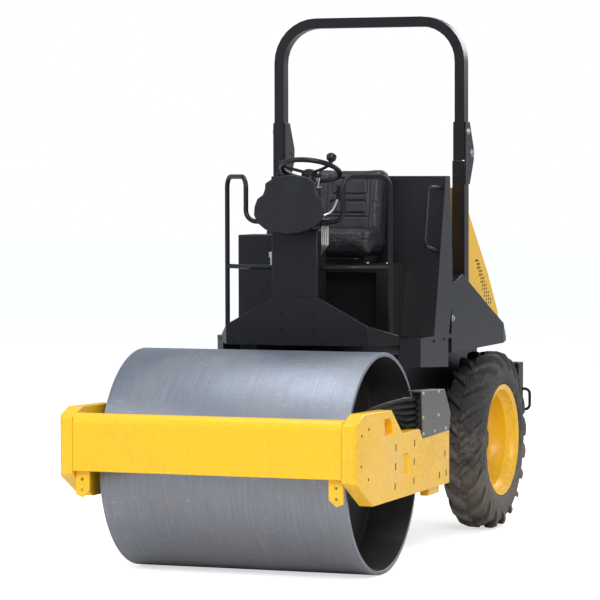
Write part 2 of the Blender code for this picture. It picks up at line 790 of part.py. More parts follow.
def side_console(root):
    low = DECK_TOP + GAP
    box = block((-PLATFORM_HALF, CONSOLE_FRONT, low), (CONSOLE_INNER, DECK_REAR, CONSOLE_TOP))
    solid("side_console", box, "black_paint", root)


def grab_handle(root):
    ends = [(0.585, face_y(z) - HANDLE_SEAT, z) for z in (2.03, 1.67)]
    bar = [(0.555, face_y(z) - 0.135, z) for z in (2.03, 1.70)]
    path = rounded((ends[0], bar[0], bar[1], ends[1]), 0.03, 4)
    solid("grab_handle", tube(path, 0.0095, 1), "black_paint", root)


SHELF_LINE = ((1.445, 1.47), (1.65, 1.526), (2.29, 1.27), (BODY_REAR, 1.105))  # Y, Z


def shelf_z(y):
    """The height of the fender's top at that place."""
    for (y0, z0), (y1, z1) in zip(SHELF_LINE, SHELF_LINE[1:]):
        if y <= y1:
            return z0 + (z1 - z0) * (y - y0) / (y1 - y0)
    return SHELF_LINE[-1][1]


def rear_body(root):
    """The black fender boxes round the open engine bay, with the hood's two hinge pins."""
    outline = ((SHELF_LINE[0][0], FENDER_LOW), *SHELF_LINE, (BODY_REAR, FENDER_LOW))
    body = solid("rear_body", prism(outline, "X", -FENDER_HALF, FENDER_HALF), "black_paint", root)
    plan = [(FENDER_HALF + 0.01, 1.40), (FENDER_HALF + 0.01, 2.42), (0.53, BODY_REAR + 0.02)]
    mirrored = [(-x, y) for x, y in plan[::-1]]
    combine(body, prism(plan + mirrored, "Z", 1.0, 1.7), "INTERSECT")
    bay = block((-BAY_HALF, 1.53, 1.0), (BAY_HALF, BODY_REAR - 0.02, 1.7))
    cut(body, bay)
    sill = RAIL_INNER - 0.02
    for side in (1, -1):
        join(body, block((side * sill, 1.50, FENDER_LOW), (side * (BAY_HALF + 0.01), BODY_REAR - 0.01, FENDER_LOW + 0.012)))
        y, z = HOOD_PIVOT
        join(body, block((side * 0.361, BODY_REAR - 0.012, FENDER_LOW + 0.004), (side * 0.395, y + 0.018, z + 0.014)))
        join(body, rod(HOOD_PIN, side * 0.298, side * 0.38, 16), at=(0, y, z))


def hood(body):
    """The tapering engine cover, open below and in front, with a knuckle on each hinge pin."""
    foot = [(y, z + 0.006) for y, z in ((HOOD_FRONT, shelf_z(HOOD_FRONT)), SHELF_LINE[1], SHELF_LINE[2], (HOOD_REAR, shelf_z(HOOD_REAR)))]
    roof = [(HOOD_REAR, 1.135), (2.65, 1.27), (2.445, 1.51), (2.08, 1.86), (1.88, HOOD_TOP), (HOOD_FRONT, HOOD_TOP)]
    cover = solid("hood", prism(foot + roof, "X", -HOOD_HALF, HOOD_HALF), "yellow_paint", body)
    inside = [
        (HOOD_FRONT - 0.05, 1.30),
        (2.5, 1.0),
        (2.60, 1.0),
        (HOOD_REAR - 0.035, 1.157),
        (2.635, 1.265),
        (2.435, 1.50),
        (2.072, 1.848),
        (1.875, HOOD_TOP - HOOD_SHEET),
        (HOOD_FRONT - 0.05, HOOD_TOP - HOOD_SHEET),
    ]
    hollow = HOOD_HALF - HOOD_SHEET
    cut(cover, prism(inside, "X", -hollow, hollow))
    y, z = HOOD_PIVOT
    for side in (1, -1):
        join(cover, block((side * 0.305, 2.70, z + 0.004), (side * 0.355, y, z + 0.016)))
        join(cover, rod(0.0175, side * 0.302, side * 0.358, 16), at=(0, y, z))
        cut(cover, rod(HOOD_PIN_BORE, side * 0.290, side * 0.3605, 16), at=(0, y, z))


def rops_base(root, word, side):
    """The fixed leg with the two clevis plates and the pin that carry the folding hoop."""
    rear = HOOP_FRONT + HOOP_DEEP
    outline = (
        (HOOP_FRONT, shelf_z(HOOP_FRONT) + 0.0005),
        (rear, shelf_z(rear) + 0.0005),
        (rear, HOOP_FOOT - 0.005),
        (HOOP_FRONT, HOOP_FOOT - 0.005),
    )
    inner = HOOP_HALF - HOOP_WIDE
    leg = prism(outline, "X", side * (inner - LEG_FLARE), side * (HOOP_HALF + 0.003))
    base = solid(f"rops_base_{word}", leg, "black_paint", root)
    plate = (
        (HOOP_FRONT + 0.004, 2.04),
        (rear, 2.04),
        (1.882, 2.18),
        (1.882, 2.25),
        (rear, CLEVIS_TOP),
        (HOOP_FRONT + 0.004, CLEVIS_TOP),
    )
    for face, out in ((inner - 0.0008, -1), (HOOP_HALF + 0.0008, 1)):
        join(base, prism(plate, "X", side * face, side * (face + out * CLEVIS_THICK)))
    y, z = FOLD_PIVOT
    low, high = inner - CLEVIS_THICK - 0.004, HOOP_HALF + CLEVIS_THICK + 0.004
    join(base, rod(FOLD_PIN, side * low, side * high, 16), at=(0, y, z))


def rops_hoop(body):
    corners = ((HOOP_HALF, HOOP_FOOT), (HOOP_HALF, HOOP_TOP), (-HOOP_HALF, HOOP_TOP), (-HOOP_HALF, HOOP_FOOT))
    path = rounded(corners, HOOP_BEND, 8)
    rear = HOOP_FRONT + HOOP_DEEP
    hoop = solid("rops_hoop", prism(band(path, HOOP_WIDE), "Y", HOOP_FRONT, rear), "black_paint", body)
    y, z = FOLD_PIVOT
    for side in (1, -1):
        inner, outer = side * (HOOP_HALF - HOOP_WIDE + 0.008), side * (HOOP_HALF - 0.008)
        lug = ((rear - 0.01, z - 0.03), (y + 0.01, z - 0.028), (y + 0.03, z), (y + 0.01, z + 0.03), (rear - 0.01, z + 0.06))
        join(hoop, prism(lug, "X", inner, outer))
        cut(hoop, rod(FOLD_BORE, side * (HOOP_HALF - HOOP_WIDE - 0.01), side * (HOOP_HALF + 0.01), 16), at=(0, y, z))


def rear_bumper(root):
    front = REAR_REACH - BUMPER_DEPTH
    plate = block((-BUMPER_HALF, front, BUMPER_LOW), (BUMPER_HALF, REAR_REACH, BUMPER_HIGH))
    solid("rear_bumper", plate, "black_paint", root)


def tie_down(root, word, side):
    foot = BUMPER_HALF + GAP
    corners = ((side * foot, 2.83, 0.785), (side * 0.655, 2.83, 0.785), (side * 0.655, 2.83, 0.66), (side * foot, 2.83, 0.66))
    solid(f"tie_down_{word}", tube(rounded(corners, 0.03, 4), 0.009, 1), "black_paint", root)


# Steering cylinder, wheels


def along_y(shape):
    """The same shape with its X axis turned to point forward, along -Y."""
    bmesh.ops.rotate(shape, verts=shape.verts, matrix=Matrix.Rotation(-math.pi / 2, 3, "Z"))
    return shape


def steering_barrel(body):
    at = (CYLINDER_X, CYLINDER_REAR, CYLINDER_Z)
    half = EYE_HALF - GAP
    barrel = solid("steering_barrel", along_y(rod(BARREL_RADIUS, 0.02, BARREL_LENGTH, 16)), "black_paint", body, at)
    join(barrel, upright(rod(CYLINDER_EYE, -half, half, 20)), at=at)
    cut(barrel, along_y(rod(BARREL_BORE, 0.05, BARREL_LENGTH + 0.02, 16)), at=at)
    cut(barrel, upright(rod(CYLINDER_PIN_BORE, -0.04, 0.04, 16)), at=at)


def steering_rod(body):
    at = (CYLINDER_X, CYLINDER_FRONT, CYLINDER_Z)
    half = EYE_HALF - GAP
    start = CYLINDER_FRONT - (CYLINDER_REAR - BARREL_LENGTH) - ROD_INSIDE
    piece = solid("steering_rod", along_y(rod(ROD_RADIUS, start, -0.015, 16)), "chrome", body, at)
    join(piece, upright(rod(CYLINDER_EYE, -half, half, 20)), at=at)


def rear_wheel(body, word, side):
    at = (side * TYRE_MIDDLE, WHEELBASE, TYRE_RADIUS)
    wall = RIM_RADIUS - RIM_SHEET
    rim = (
        (-DISH_INSET, 0),
        (-DISH_INSET, wall),
        (-RIM_HALF, wall),
        (-RIM_HALF, RIM_LIP),
        (RIM_SHEET - RIM_HALF, RIM_LIP),
        (RIM_SHEET - RIM_HALF, RIM_RADIUS),
        (RIM_HALF - RIM_SHEET, RIM_RADIUS),
        (RIM_HALF - RIM_SHEET, RIM_LIP),
        (RIM_HALF, RIM_LIP),
        (RIM_HALF, wall),
        (RIM_SHEET - DISH_INSET, wall),
        (RIM_SHEET - DISH_INSET, HUB_RADIUS),
        (0.005, HUB_RADIUS * 0.85),
        (0.005, 0),
    )
    solid(f"rear_rim_{word}", turned(rim, 32, side), "yellow_paint", body, at)
    bead = RIM_HALF - RIM_SHEET - GAP
    half = (
        (bead, RIM_RADIUS + 0.001),
        (bead, RIM_LIP + 0.001),
        (0.124, 0.36),
        (0.129, 0.42),
        (0.120, 0.48),
        (0.104, 0.512),
        (0.060, TYRE_RADIUS),
    )
    section = [*half, *[(-x, radius) for x, radius in half[::-1]]]
    solid(f"rear_tyre_{word}", turned(section, 32, side), "tyre_rubber", body, at)


def main():
    clear_scene()
    root = carrier("machine", (0, DRUM_Y, 0))
    front = carrier("articulation_axis", (0, PIVOT_Y, TONGUE_HIGH), root)
    drum_axle = carrier("drum_axle", (0, 0, DRUM_RADIUS), front)
    front_beam(front)
    yoke_crossmember(front)
    for word, side in SIDES:
        side_arm(front, word, side)
        hose_guard(front, word, side)
        drum_mount(front, word, side)
        hoses(front, word, side)
        front_bracket(front, word, side)
        rear_bracket(front, word, side)
    drum(drum_axle)

    rear_frame(root)
    rear_axle(root)
    engine_block(root)
    deck(root)
    cowl(root)
    console_column(root)
    console_pod(root)
    seat_pedestal(root)
    seat(root)
    bulkhead(root)
    side_console(root)
    grab_handle(root)
    rear_body(root)
    rear_bumper(root)
    for word, side in SIDES:
        handrail(root, word, side)
        rops_base(root, word, side)
        tie_down(root, word, side)
        rear_wheel(carrier(f"rear_hub_{word}", (side * TYRE_MIDDLE, WHEELBASE, TYRE_RADIUS), root), word, side)
    steering_wheel(carrier("steering_shaft", WHEEL_CENTRE, root))
    rops_hoop(carrier("fold_pins", (0, *FOLD_PIVOT), root))
    hood(carrier("hood_pins", (0, *HOOD_PIVOT), root))
    steering_barrel(carrier("barrel_pin", (CYLINDER_X, CYLINDER_REAR, CYLINDER_Z), root))
    steering_rod(carrier("rod_axis", (CYLINDER_X, CYLINDER_FRONT, CYLINDER_Z), root))


main()
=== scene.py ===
"""Finishes and fine shapes of a single-drum road roller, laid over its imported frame.

Metres, +Z up. The machine faces -Y and its left side is +X.
"""

import math

import bmesh
import bpy
from mathutils import Matrix, Vector


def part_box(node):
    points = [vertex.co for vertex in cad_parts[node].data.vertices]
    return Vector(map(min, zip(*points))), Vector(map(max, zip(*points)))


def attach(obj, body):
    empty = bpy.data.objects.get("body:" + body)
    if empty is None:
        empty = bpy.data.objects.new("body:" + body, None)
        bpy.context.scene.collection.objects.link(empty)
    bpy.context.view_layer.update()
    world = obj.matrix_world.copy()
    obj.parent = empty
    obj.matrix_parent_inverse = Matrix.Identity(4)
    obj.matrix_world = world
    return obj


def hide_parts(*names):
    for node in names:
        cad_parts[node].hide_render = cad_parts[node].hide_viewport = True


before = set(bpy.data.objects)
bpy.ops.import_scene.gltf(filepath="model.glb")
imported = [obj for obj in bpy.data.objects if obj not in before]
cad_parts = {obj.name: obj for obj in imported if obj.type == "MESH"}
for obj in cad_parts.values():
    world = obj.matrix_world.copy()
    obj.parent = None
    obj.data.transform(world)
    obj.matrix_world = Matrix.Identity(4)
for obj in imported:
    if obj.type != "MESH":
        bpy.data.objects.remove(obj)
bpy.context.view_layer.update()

bl_info = {
    "name": "Road Roller Looks",
    "version": (1, 0, 0),
    "blender": (4, 5, 0),
    "location": "View3D > Sidebar > Roller",
    "description": "Builds the fine shapes and finishes of a single-drum road roller",
    "category": "Object",
}

SIDES = (("left", 1), ("right", -1))
ROOT = "rear_frame_body"


def middle(node):
    low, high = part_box(node)
    return (low + high) / 2


DRUM = middle("drum")
TYRE = middle("rear_tyre_left")
DRUM_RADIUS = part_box("drum")[1].z - DRUM.z
DRUM_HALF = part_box("drum")[1].x
TYRE_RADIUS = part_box("rear_tyre_left")[1].z - TYRE.z
DECK_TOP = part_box("deck")[1].z


def at(x, y, z):
    """A place whose Y is measured from the drum's axle."""
    return Vector((x, DRUM.y + y, z))


# Sizes and colours


def length(name, description, default):
    return bpy.props.FloatProperty(
        name=name, description=description, default=default, min=0, unit="LENGTH", precision=4
    )


def colour(name, description, default):
    return bpy.props.FloatVectorProperty(
        name=name, description=description, default=default, size=3, min=0, max=1, subtype="COLOR"
    )


class RollerSizes(bpy.types.PropertyGroup):
    edge: length("Edge rounding", "Radius on the edges of folded and cut sheet", 0.003)
    plate_edge: length("Plate rounding", "Radius on the edges of thick plate", 0.005)
    lug_depth: length("Lug depth", "Height of the tyre's lugs over its carcass", 0.028)
    lug_width: length("Lug width", "Width of one tyre lug across its top", 0.036)
    bolt: length("Bolt size", "Radius of an ordinary bolt's head", 0.009)
    hose: length("Hose radius", "Radius of a hydraulic hose", 0.0118)
    grip: length("Grip radius", "Radius of the steering wheel's rim section", 0.0142)
    seam: length("Seam depth", "Depth of the sewn channels in the seat", 0.010)


class RollerColours(bpy.types.PropertyGroup):
    yellow: colour("Yellow paint", "Paint of the yoke, hood and rims", (0.92, 0.51, 0.004))
    black: colour("Black paint", "Paint of the platform and the roll bar", (0.0075, 0.0072, 0.0085))
    steel: colour("Drum steel", "Bare rolled steel of the drum", (0.27, 0.285, 0.32))
    vinyl: colour("Vinyl", "Seat cover", (0.010, 0.0098, 0.0115))
    rubber: colour("Tyre rubber", "Tread and side walls", (0.022, 0.021, 0.021))
    mud: colour("Dried mud", "Dust and dried mud on the tyres", (0.16, 0.135, 0.11))
    guard: colour("Guard paint", "Paint of the hose guards", (0.085, 0.075, 0.07))


def sizes():
    return bpy.context.scene.roller_sizes


def colours():
    return bpy.context.scene.roller_colours


# Finishes


class Value:
    """A number that changes over a surface. Arithmetic on it adds Math nodes."""

    def __init__(self, finish, socket):
        self.finish = finish
        self.socket = socket

    def maths(self, operation, first, second):
        made = self.finish.node("ShaderNodeMath", {"operation": operation}, {0: first, 1: second})
        return Value(self.finish, made.outputs[0])

    def __add__(self, other):
        return self.maths("ADD", self, other)

    def __radd__(self, other):
        return self.maths("ADD", other, self)

    def __sub__(self, other):
        return self.maths("SUBTRACT", self, other)

    def __rsub__(self, other):
        return self.maths("SUBTRACT", other, self)

    def __mul__(self, other):
        return self.maths("MULTIPLY", self, other)

    def between(self, low, high):
        """0 below low, 1 above high, and a smooth rise between them."""
        made = self.finish.node(
            "ShaderNodeMapRange",
            {"interpolation_type": "SMOOTHSTEP", "clamp": True},
            {"Value": self, "From Min": low, "From Max": high},
        )
        return Value(self.finish, made.outputs["Result"])


class Finish:
    """A Principled material and the nodes that vary it."""

    def __init__(self, name, roughness=0.5, metallic=0.0, **constants):
        self.material = bpy.data.materials.new(name)
        self.material.use_nodes = True
        self.tree = self.material.node_tree
        self.shader = self.tree.nodes["Principled BSDF"]
        self.place = None
        self.shader.inputs["Roughness"].default_value = roughness
        self.shader.inputs["Metallic"].default_value = metallic
        for socket, value in constants.items():
            self.shader.inputs[socket.replace("_", " ")].default_value = value

    def node(self, kind, settings=None, inputs=None):
        made = self.tree.nodes.new(kind)
        for key, value in (settings or {}).items():
            setattr(made, key, value)
        for key, value in (inputs or {}).items():
            self.feed(made.inputs[key], value)
        return made

    def feed(self, socket, value):
        if isinstance(value, Value):
            self.tree.links.new(value.socket, socket)
        elif isinstance(value, bpy.types.NodeSocket):
            self.tree.links.new(value, socket)
        elif socket.type == "RGBA" and len(value) == 3:
            socket.default_value = (*value, 1)
        else:
            socket.default_value = value

    def here(self, stretch=(1, 1, 1)):
        """The place on the object, stretched along each axis."""
        if self.place is None:
            self.place = self.node("ShaderNodeTexCoord").outputs["Object"]
        scaled = self.node("ShaderNodeMapping", inputs={"Vector": self.place, "Scale": stretch})
        return scaled.outputs[0]

    def noise(self, scale, detail=4.0, stretch=(1, 1, 1), roughness=0.55):
        made = self.node(
            "ShaderNodeTexNoise",
            inputs={"Vector": self.here(stretch), "Scale": scale, "Detail": detail, "Roughness": roughness},
        )
        return Value(self, made.outputs["Fac"])

    def cells(self, scale, stretch=(1, 1, 1), feature="F1"):
        made = self.node(
            "ShaderNodeTexVoronoi", {"feature": feature}, {"Vector": self.here(stretch), "Scale": scale}
        )
        return Value(self, made.outputs["Distance"])

    def height(self):
        made = self.node("ShaderNodeSeparateXYZ", inputs={0: self.here()})
        return Value(self, made.outputs["Z"])

    def mixed(self, factor, first, second):
        made = self.node("ShaderNodeMix", {"data_type": "RGBA"}, {0: factor, 6: first, 7: second})
        return made.outputs[2]

    def set(self, socket, value):
        self.feed(self.shader.inputs[socket], value)

    def bump(self, height, distance, strength=1.0):
        made = self.node("ShaderNodeBump", inputs={"Height": height, "Distance": distance, "Strength": strength})
        self.set("Normal", made.outputs[0])


def shade_of(tone, factor):
    return tuple(min(1, channel * factor) for channel in tone)


def paint(name, tone, roughness, dust=0.25, gloss=0.5):
    """Sprayed paint: faint orange peel, uneven gloss, and dust that gathers low down."""
    made = Finish(name, roughness, Coat_Weight=0.3 * gloss, Coat_Roughness=0.25)
    made.set("Specular IOR Level", gloss)
    broad = made.noise(2.2, 3)
    fine = made.noise(38, 5)
    peel = made.noise(420, 2)
    low = 1 - made.height().between(0.35, 1.3)
    grime = (broad * 0.6 + fine * 0.4).between(0.48, 0.72) * (0.25 + low * 0.75) * dust
    specks = made.noise(160, 3).between(0.70, 0.76) * 0.35
    worn = made.mixed(fine.between(0.35, 0.75) * 0.5, tone, shade_of(tone, 0.86))
    dusty = made.mixed(grime, worn, (0.20, 0.165, 0.12))
    made.set("Base Color", made.mixed(specks * dust, dusty, (0.05, 0.04, 0.03)))
    made.set("Roughness", roughness + (fine - 0.5) * 0.12 + grime * 0.35)
    made.bump(peel * 0.5 + fine * 0.5, 0.0004, 0.35)
    return made.material


def drum_steel():
    """Rolled plate turned true: rings round it, long faint scratches and blotches of dull oxide."""
    made = Finish("drum_steel", 0.42, 0.9)
    rings = made.noise(9, 6, (22, 0.5, 0.5), 0.7)
    fine_rings = made.noise(30, 4, (40, 0.7, 0.7), 0.6)
    blotch = made.noise(3.2, 6)
    small = made.noise(26, 6, roughness=0.7)
    scratch = made.noise(14, 3, (1.0, 9, 9)).between(0.66, 0.70)
    tone = colours().steel
    ringed = made.mixed(rings.between(0.3, 0.7), shade_of(tone, 0.82), shade_of(tone, 1.12))
    dulled = made.mixed(blotch.between(0.45, 0.75) * 0.35, ringed, (0.33, 0.31, 0.285))
    pitted = made.mixed(small.between(0.62, 0.72) * 0.28, dulled, (0.20, 0.18, 0.16))
    made.set("Base Color", made.mixed(scratch * 0.25, pitted, (0.75, 0.75, 0.76)))
    made.set("Roughness", 0.36 + rings * 0.16 + blotch.between(0.4, 0.8) * 0.16)
    made.bump(rings * 0.5 + fine_rings * 0.35 + small * 0.3 - scratch * 0.2, 0.0012, 0.5)
    return made.material


def rough_casting(name, tone, dust=0.4):
    made = Finish(name, 0.62, 0.1)
    grain = made.noise(90, 5, roughness=0.7)
    broad = made.noise(5, 4)
    grime = (broad * 0.5 + grain * 0.5).between(0.45, 0.7) * dust
    made.set("Base Color", made.mixed(grime, tone, (0.16, 0.14, 0.115)))
    made.set("Roughness", 0.55 + grain * 0.25)
    made.bump(grain, 0.0012, 0.6)
    return made.material


def tyre_rubber():
    """Black rubber, scuffed grey on the lugs, with dried mud that thickens towards the ground."""
    made = Finish("tyre_rubber", 0.82)
    height = made.height()
    broad = made.noise(7, 5)
    clots = made.noise(34, 6, roughness=0.68)
    grit = made.noise(240, 4, roughness=0.7)
    low = 1 - height.between(0.05, 0.85)
    mud = (broad * 0.45 + clots * 0.55 + low * 0.22).between(0.50, 0.68)
    dust = (0.25 + clots * 0.35) * (0.4 + low * 0.4)
    grey = made.mixed(dust, colours().rubber, (0.085, 0.075, 0.068))
    dried = made.mixed(grit.between(0.3, 0.8), colours().mud, shade_of(colours().mud, 1.6))
    made.set("Base Color", made.mixed(mud * 0.62, grey, dried))
    made.set("Roughness", 0.72 + mud * 0.2)
    made.bump(clots * mud * 1.4 + grit * 0.25, 0.0035, 0.7)
    return made.material


def seat_vinyl():
    """Soft grained vinyl with a low sheen and creases."""
    made = Finish("seat_vinyl", 0.42)
    pebble = made.cells(520)
    crease = made.noise(16, 4, (1, 1, 1.6))
    tone = colours().vinyl
    made.set("Base Color", made.mixed(crease.between(0.45, 0.7) * 0.45, tone, shade_of(tone, 1.9)))
    made.set("Roughness", 0.36 + crease * 0.14)
    made.bump(pebble * 0.35 + crease * 1.2, 0.0016, 0.5)
    return made.material


def soft_black(name, tone, roughness):
    """Moulded rubber or plastic with a fine matt grain; also the near-black painted shade for the insides of holes and
    slots.
    """
    made = Finish(name, roughness, Specular_IOR_Level=0.3)
    grain = made.noise(600, 3)
    broad = made.noise(14, 4)
    made.set("Base Color", made.mixed(broad.between(0.4, 0.7) * 0.4, tone, shade_of(tone, 1.8)))
    made.set("Roughness", roughness + (broad - 0.5) * 0.15)
    made.bump(grain, 0.0005, 0.5)
    return made.material


def bright_metal(name, tone, roughness):
    """Zinc or chrome plate, a little uneven."""
    made = Finish(name, roughness, 1.0)
    cloud = made.noise(60, 4)
    made.set("Base Color", made.mixed(cloud.between(0.4, 0.7), tone, shade_of(tone, 0.8)))
    made.set("Roughness", roughness + (cloud - 0.5) * 0.15)
    return made.material


def lens(name, tone):
    made = Finish(name, 0.12, Coat_Weight=0.6)
    cloud = made.noise(40, 2)
    made.set("Base Color", made.mixed(cloud, tone, shade_of(tone, 0.85)))
    return made.material


def make_finishes():
    tones = colours()
    return {
        "yellow_paint": paint("yellow_paint", tones.yellow, 0.38, 0.22),
        "black_paint": paint("black_paint", tones.black, 0.34, 0.12, 0.25),
        "grey_paint": paint("grey_paint", tones.guard, 0.42, 0.4),
        "drum_steel": drum_steel(),
        "cast_grey": rough_casting("cast_grey", (0.035, 0.034, 0.034)),
        "hub_grey": rough_casting("hub_grey", (0.10, 0.085, 0.075), 0.6),
        "vinyl": seat_vinyl(),
        "tyre_rubber": tyre_rubber(),
        "hose_rubber": soft_black("hose_rubber", (0.012, 0.012, 0.013), 0.5),
        "moulding": soft_black("moulding", (0.008, 0.008, 0.0095), 0.36),
        # near-black painted shade, standing in for the shade inside holes, grille openings and slots
        "painted_shade_black": soft_black("painted_shade_black", (0.004, 0.004, 0.004), 0.8),
        "chrome": bright_metal("chrome", (0.82, 0.82, 0.82), 0.12),
        "zinc": bright_metal("zinc", (0.62, 0.62, 0.60), 0.32),
        "white_lens": lens("white_lens", (0.80, 0.81, 0.80)),
    }


FINISHES = {}


def finish_named(name):
    if not FINISHES:
        FINISHES.update(make_finishes())
    return FINISHES[name]


# Shapes


def piece(name, shape, finish, body, stands_for=(), sharp=32, bevel=0.0):
    """A finished object that rides on a body."""
    mesh = bpy.data.meshes.new(name)
    shape.to_mesh(mesh)
    shape.free()
    mesh.shade_smooth()
    mesh.set_sharp_from_angle(angle=math.radians(sharp))
    mesh.materials.append(finish_named(finish))
    made = bpy.data.objects.new(name, mesh)
    bpy.context.scene.collection.objects.link(made)
    if bevel:
        round_off(made, bevel)
    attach(made, body)
    if stands_for:
        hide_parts(*stands_for)
    return made


def round_off(made, width, segments=2):
    edge = made.modifiers.new("Edges", "BEVEL")
    edge.width = width
    edge.segments = segments
    edge.limit_method = "ANGLE"
    edge.angle_limit = math.radians(40)
    edge.use_clamp_overlap = True
    edge.harden_normals = False


def outward(shape):
    bmesh.ops.remove_doubles(shape, verts=shape.verts, dist=0.00001)
    bmesh.ops.recalc_face_normals(shape, faces=shape.faces)
    return shape


def copied(node):
    """The node's own shape, with its triangles joined into flat faces."""
    shape = bmesh.new()
    shape.from_mesh(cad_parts[node].data)
    bmesh.ops.remove_doubles(shape, verts=shape.verts, dist=0.00002)
    bmesh.ops.dissolve_limit(
        shape, angle_limit=math.radians(0.5), verts=shape.verts, edges=shape.edges, delimit={"NORMAL"}
    )
    return shape


def refined(node, finish, body, bevel, name=None, sharp=32):
    return piece(name or f"{node}_skin", copied(node), finish, body, (node,), sharp, bevel)


def turned(profile, segments, centre, side=1):
    """A profile of (along X, radius) points spun about X at that centre."""
    shape = bmesh.new()
    points = [shape.verts.new((side * along, 0, radius)) for along, radius in profile]
    ring = points if profile[0][1] == 0 else points + points[:1]
    edges = [shape.edges.new(pair) for pair in zip(ring, ring[1:])]
    bmesh.ops.spin(
        shape, geom=points + edges, axis=(1, 0, 0), cent=(0, 0, 0), angle=math.tau, steps=segments, use_merge=True
    )
    outward(shape)
    bmesh.ops.translate(shape, vec=centre, verts=shape.verts)
    return shape


def box_shape(low, high):
    shape = bmesh.new()
    bmesh.ops.create_cube(shape, size=1)
    low, high = Vector(low), Vector(high)
    bmesh.ops.scale(shape, vec=[abs(value) for value in high - low], verts=shape.verts)
    bmesh.ops.translate(shape, vec=(low + high) / 2, verts=shape.verts)
    return shape


def facing(direction):
    """The rotation that turns +Z to that direction."""
    return Vector((0, 0, 1)).rotation_difference(Vector(direction).normalized()).to_matrix().to_4x4()


def cylinder(start, end, radius, segments=20, top=None):
    """A round bar from start to end, which may taper to another radius."""
    shape = bmesh.new()
    start, end = Vector(start), Vector(end)
    along = end - start
    bmesh.ops.create_cone(
        shape,
        cap_ends=True,
        segments=segments,
        radius1=radius,
        radius2=radius if top is None else top,
        depth=along.length,
        matrix=Matrix.Translation((start + end) / 2) @ facing(along),
    )
    return shape


def merged(*shapes):
    """One shape that holds them all."""
    whole = bmesh.new()
    for shape in shapes:
        mesh = bpy.data.meshes.new("part")
        shape.to_mesh(mesh)
        shape.free()
        whole.from_mesh(mesh)
        bpy.data.meshes.remove(mesh)
    return whole


def rounded(corners, radius, steps=8):
    """A path through these corners, each inner one replaced by an arc of that radius."""
    points = [Vector(corner) for corner in corners]
    path = [points[0]]
    for before, corner, after in zip(points, points[1:], points[2:]):
        back, ahead = (before - corner).normalized(), (after - corner).normalized()
        half = back.angle(ahead) / 2
        reach = radius / math.tan(half)
        centre = corner + (back + ahead).normalized() * radius / math.sin(half)
        start = (corner + back * reach - centre).normalized()
        end = (corner + ahead * reach - centre).normalized()
        path += [centre + start.slerp(end, step / steps) * radius for step in range(steps + 1)]
    return path + [points[-1]]


def through(points, steps):
    """A smooth path through these points."""
    points = [Vector(point) for point in points]
    padded = [2 * points[0] - points[1], *points, 2 * points[-1] - points[-2]]
    path = []
    for a, b, c, d in zip(padded, padded[1:], padded[2:], padded[3:]):
        for step in range(steps):
            t = step / steps
            path.append(0.5 * (2 * b + (c - a) * t + (2 * a - 5 * b + 4 * c - d) * t**2
                               + (3 * b - a - 3 * c + d) * t**3))
    return path + [points[-1]]


def tube(path, radius, around=4):
    """A round tube along a path, closed at both ends; around sets its sides, 4 + 2 * around."""
    curve = bpy.data.curves.new("route", "CURVE")
    curve.dimensions = "3D"
    curve.bevel_depth = radius
    curve.bevel_resolution = around
    curve.use_fill_caps = True
    spline = curve.splines.new("POLY")
    spline.points.add(len(path) - 1)
    for point, place in zip(spline.points, path):
        point.co = (*place, 1)
    helper = bpy.data.objects.new("route", curve)
    shape = bmesh.new()
    shape.from_mesh(bpy.data.meshes.new_from_object(helper))
    bpy.data.objects.remove(helper)
    return outward(shape)


def bolt(place, direction, radius, washer=True):
    """A hexagon head on its washer, standing on a face."""
    place, direction = Vector(place), Vector(direction).normalized()
    shapes = []
    foot = place - direction * 0.001
    if washer:
        shapes.append(cylinder(foot, place + direction * radius * 0.2, radius * 1.35, 20))
    head = cylinder(foot, place + direction * radius * 0.85, radius, 6, radius * 0.94)
    return merged(*shapes, head)


def bolts(name, places, finish, body):
    """Bolt heads of one finish on one body: (place, direction, radius) each."""
    return piece(name, merged(*[bolt(*place) for place in places]), finish, body, bevel=0.0006)


# Front frame


def front_frame_looks():
    edge, thick = sizes().edge, sizes().plate_edge
    refined("front_beam", "yellow_paint", "front_frame", thick)
    refined("yoke_crossmember", "yellow_paint", "front_frame", thick)
    for word, side in SIDES:
        refined(f"side_arm_{word}", "yellow_paint", "front_frame", thick)
        refined(f"front_bracket_{word}", "yellow_paint", "front_frame", edge)
        refined(f"rear_bracket_{word}", "yellow_paint", "front_frame", edge)
        refined(f"hose_guard_{word}", "grey_paint", "front_frame", edge)
        refined(f"drum_mount_{word}", "cast_grey", "front_frame", thick)
        guard_bolts(word, side)
        hose_set(word, side)
        arm_details(word, side)


GUARD_BOLTS = ((0.264, 0.940), (0.528, 0.932), (0.262, 0.811), (0.521, 0.805), (0.263, 0.724), (0.457, 0.724),
               (0.651, 0.724))  # Y, Z


def guard_bolts(word, side):
    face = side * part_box(f"hose_guard_{word}")[1 if side > 0 else 0].x * side
    places = [(at(face, y, z), (side, 0, 0), sizes().bolt * 0.8) for y, z in GUARD_BOLTS]
    bolts(f"guard_bolts_{word}", places, "zinc", "front_frame")


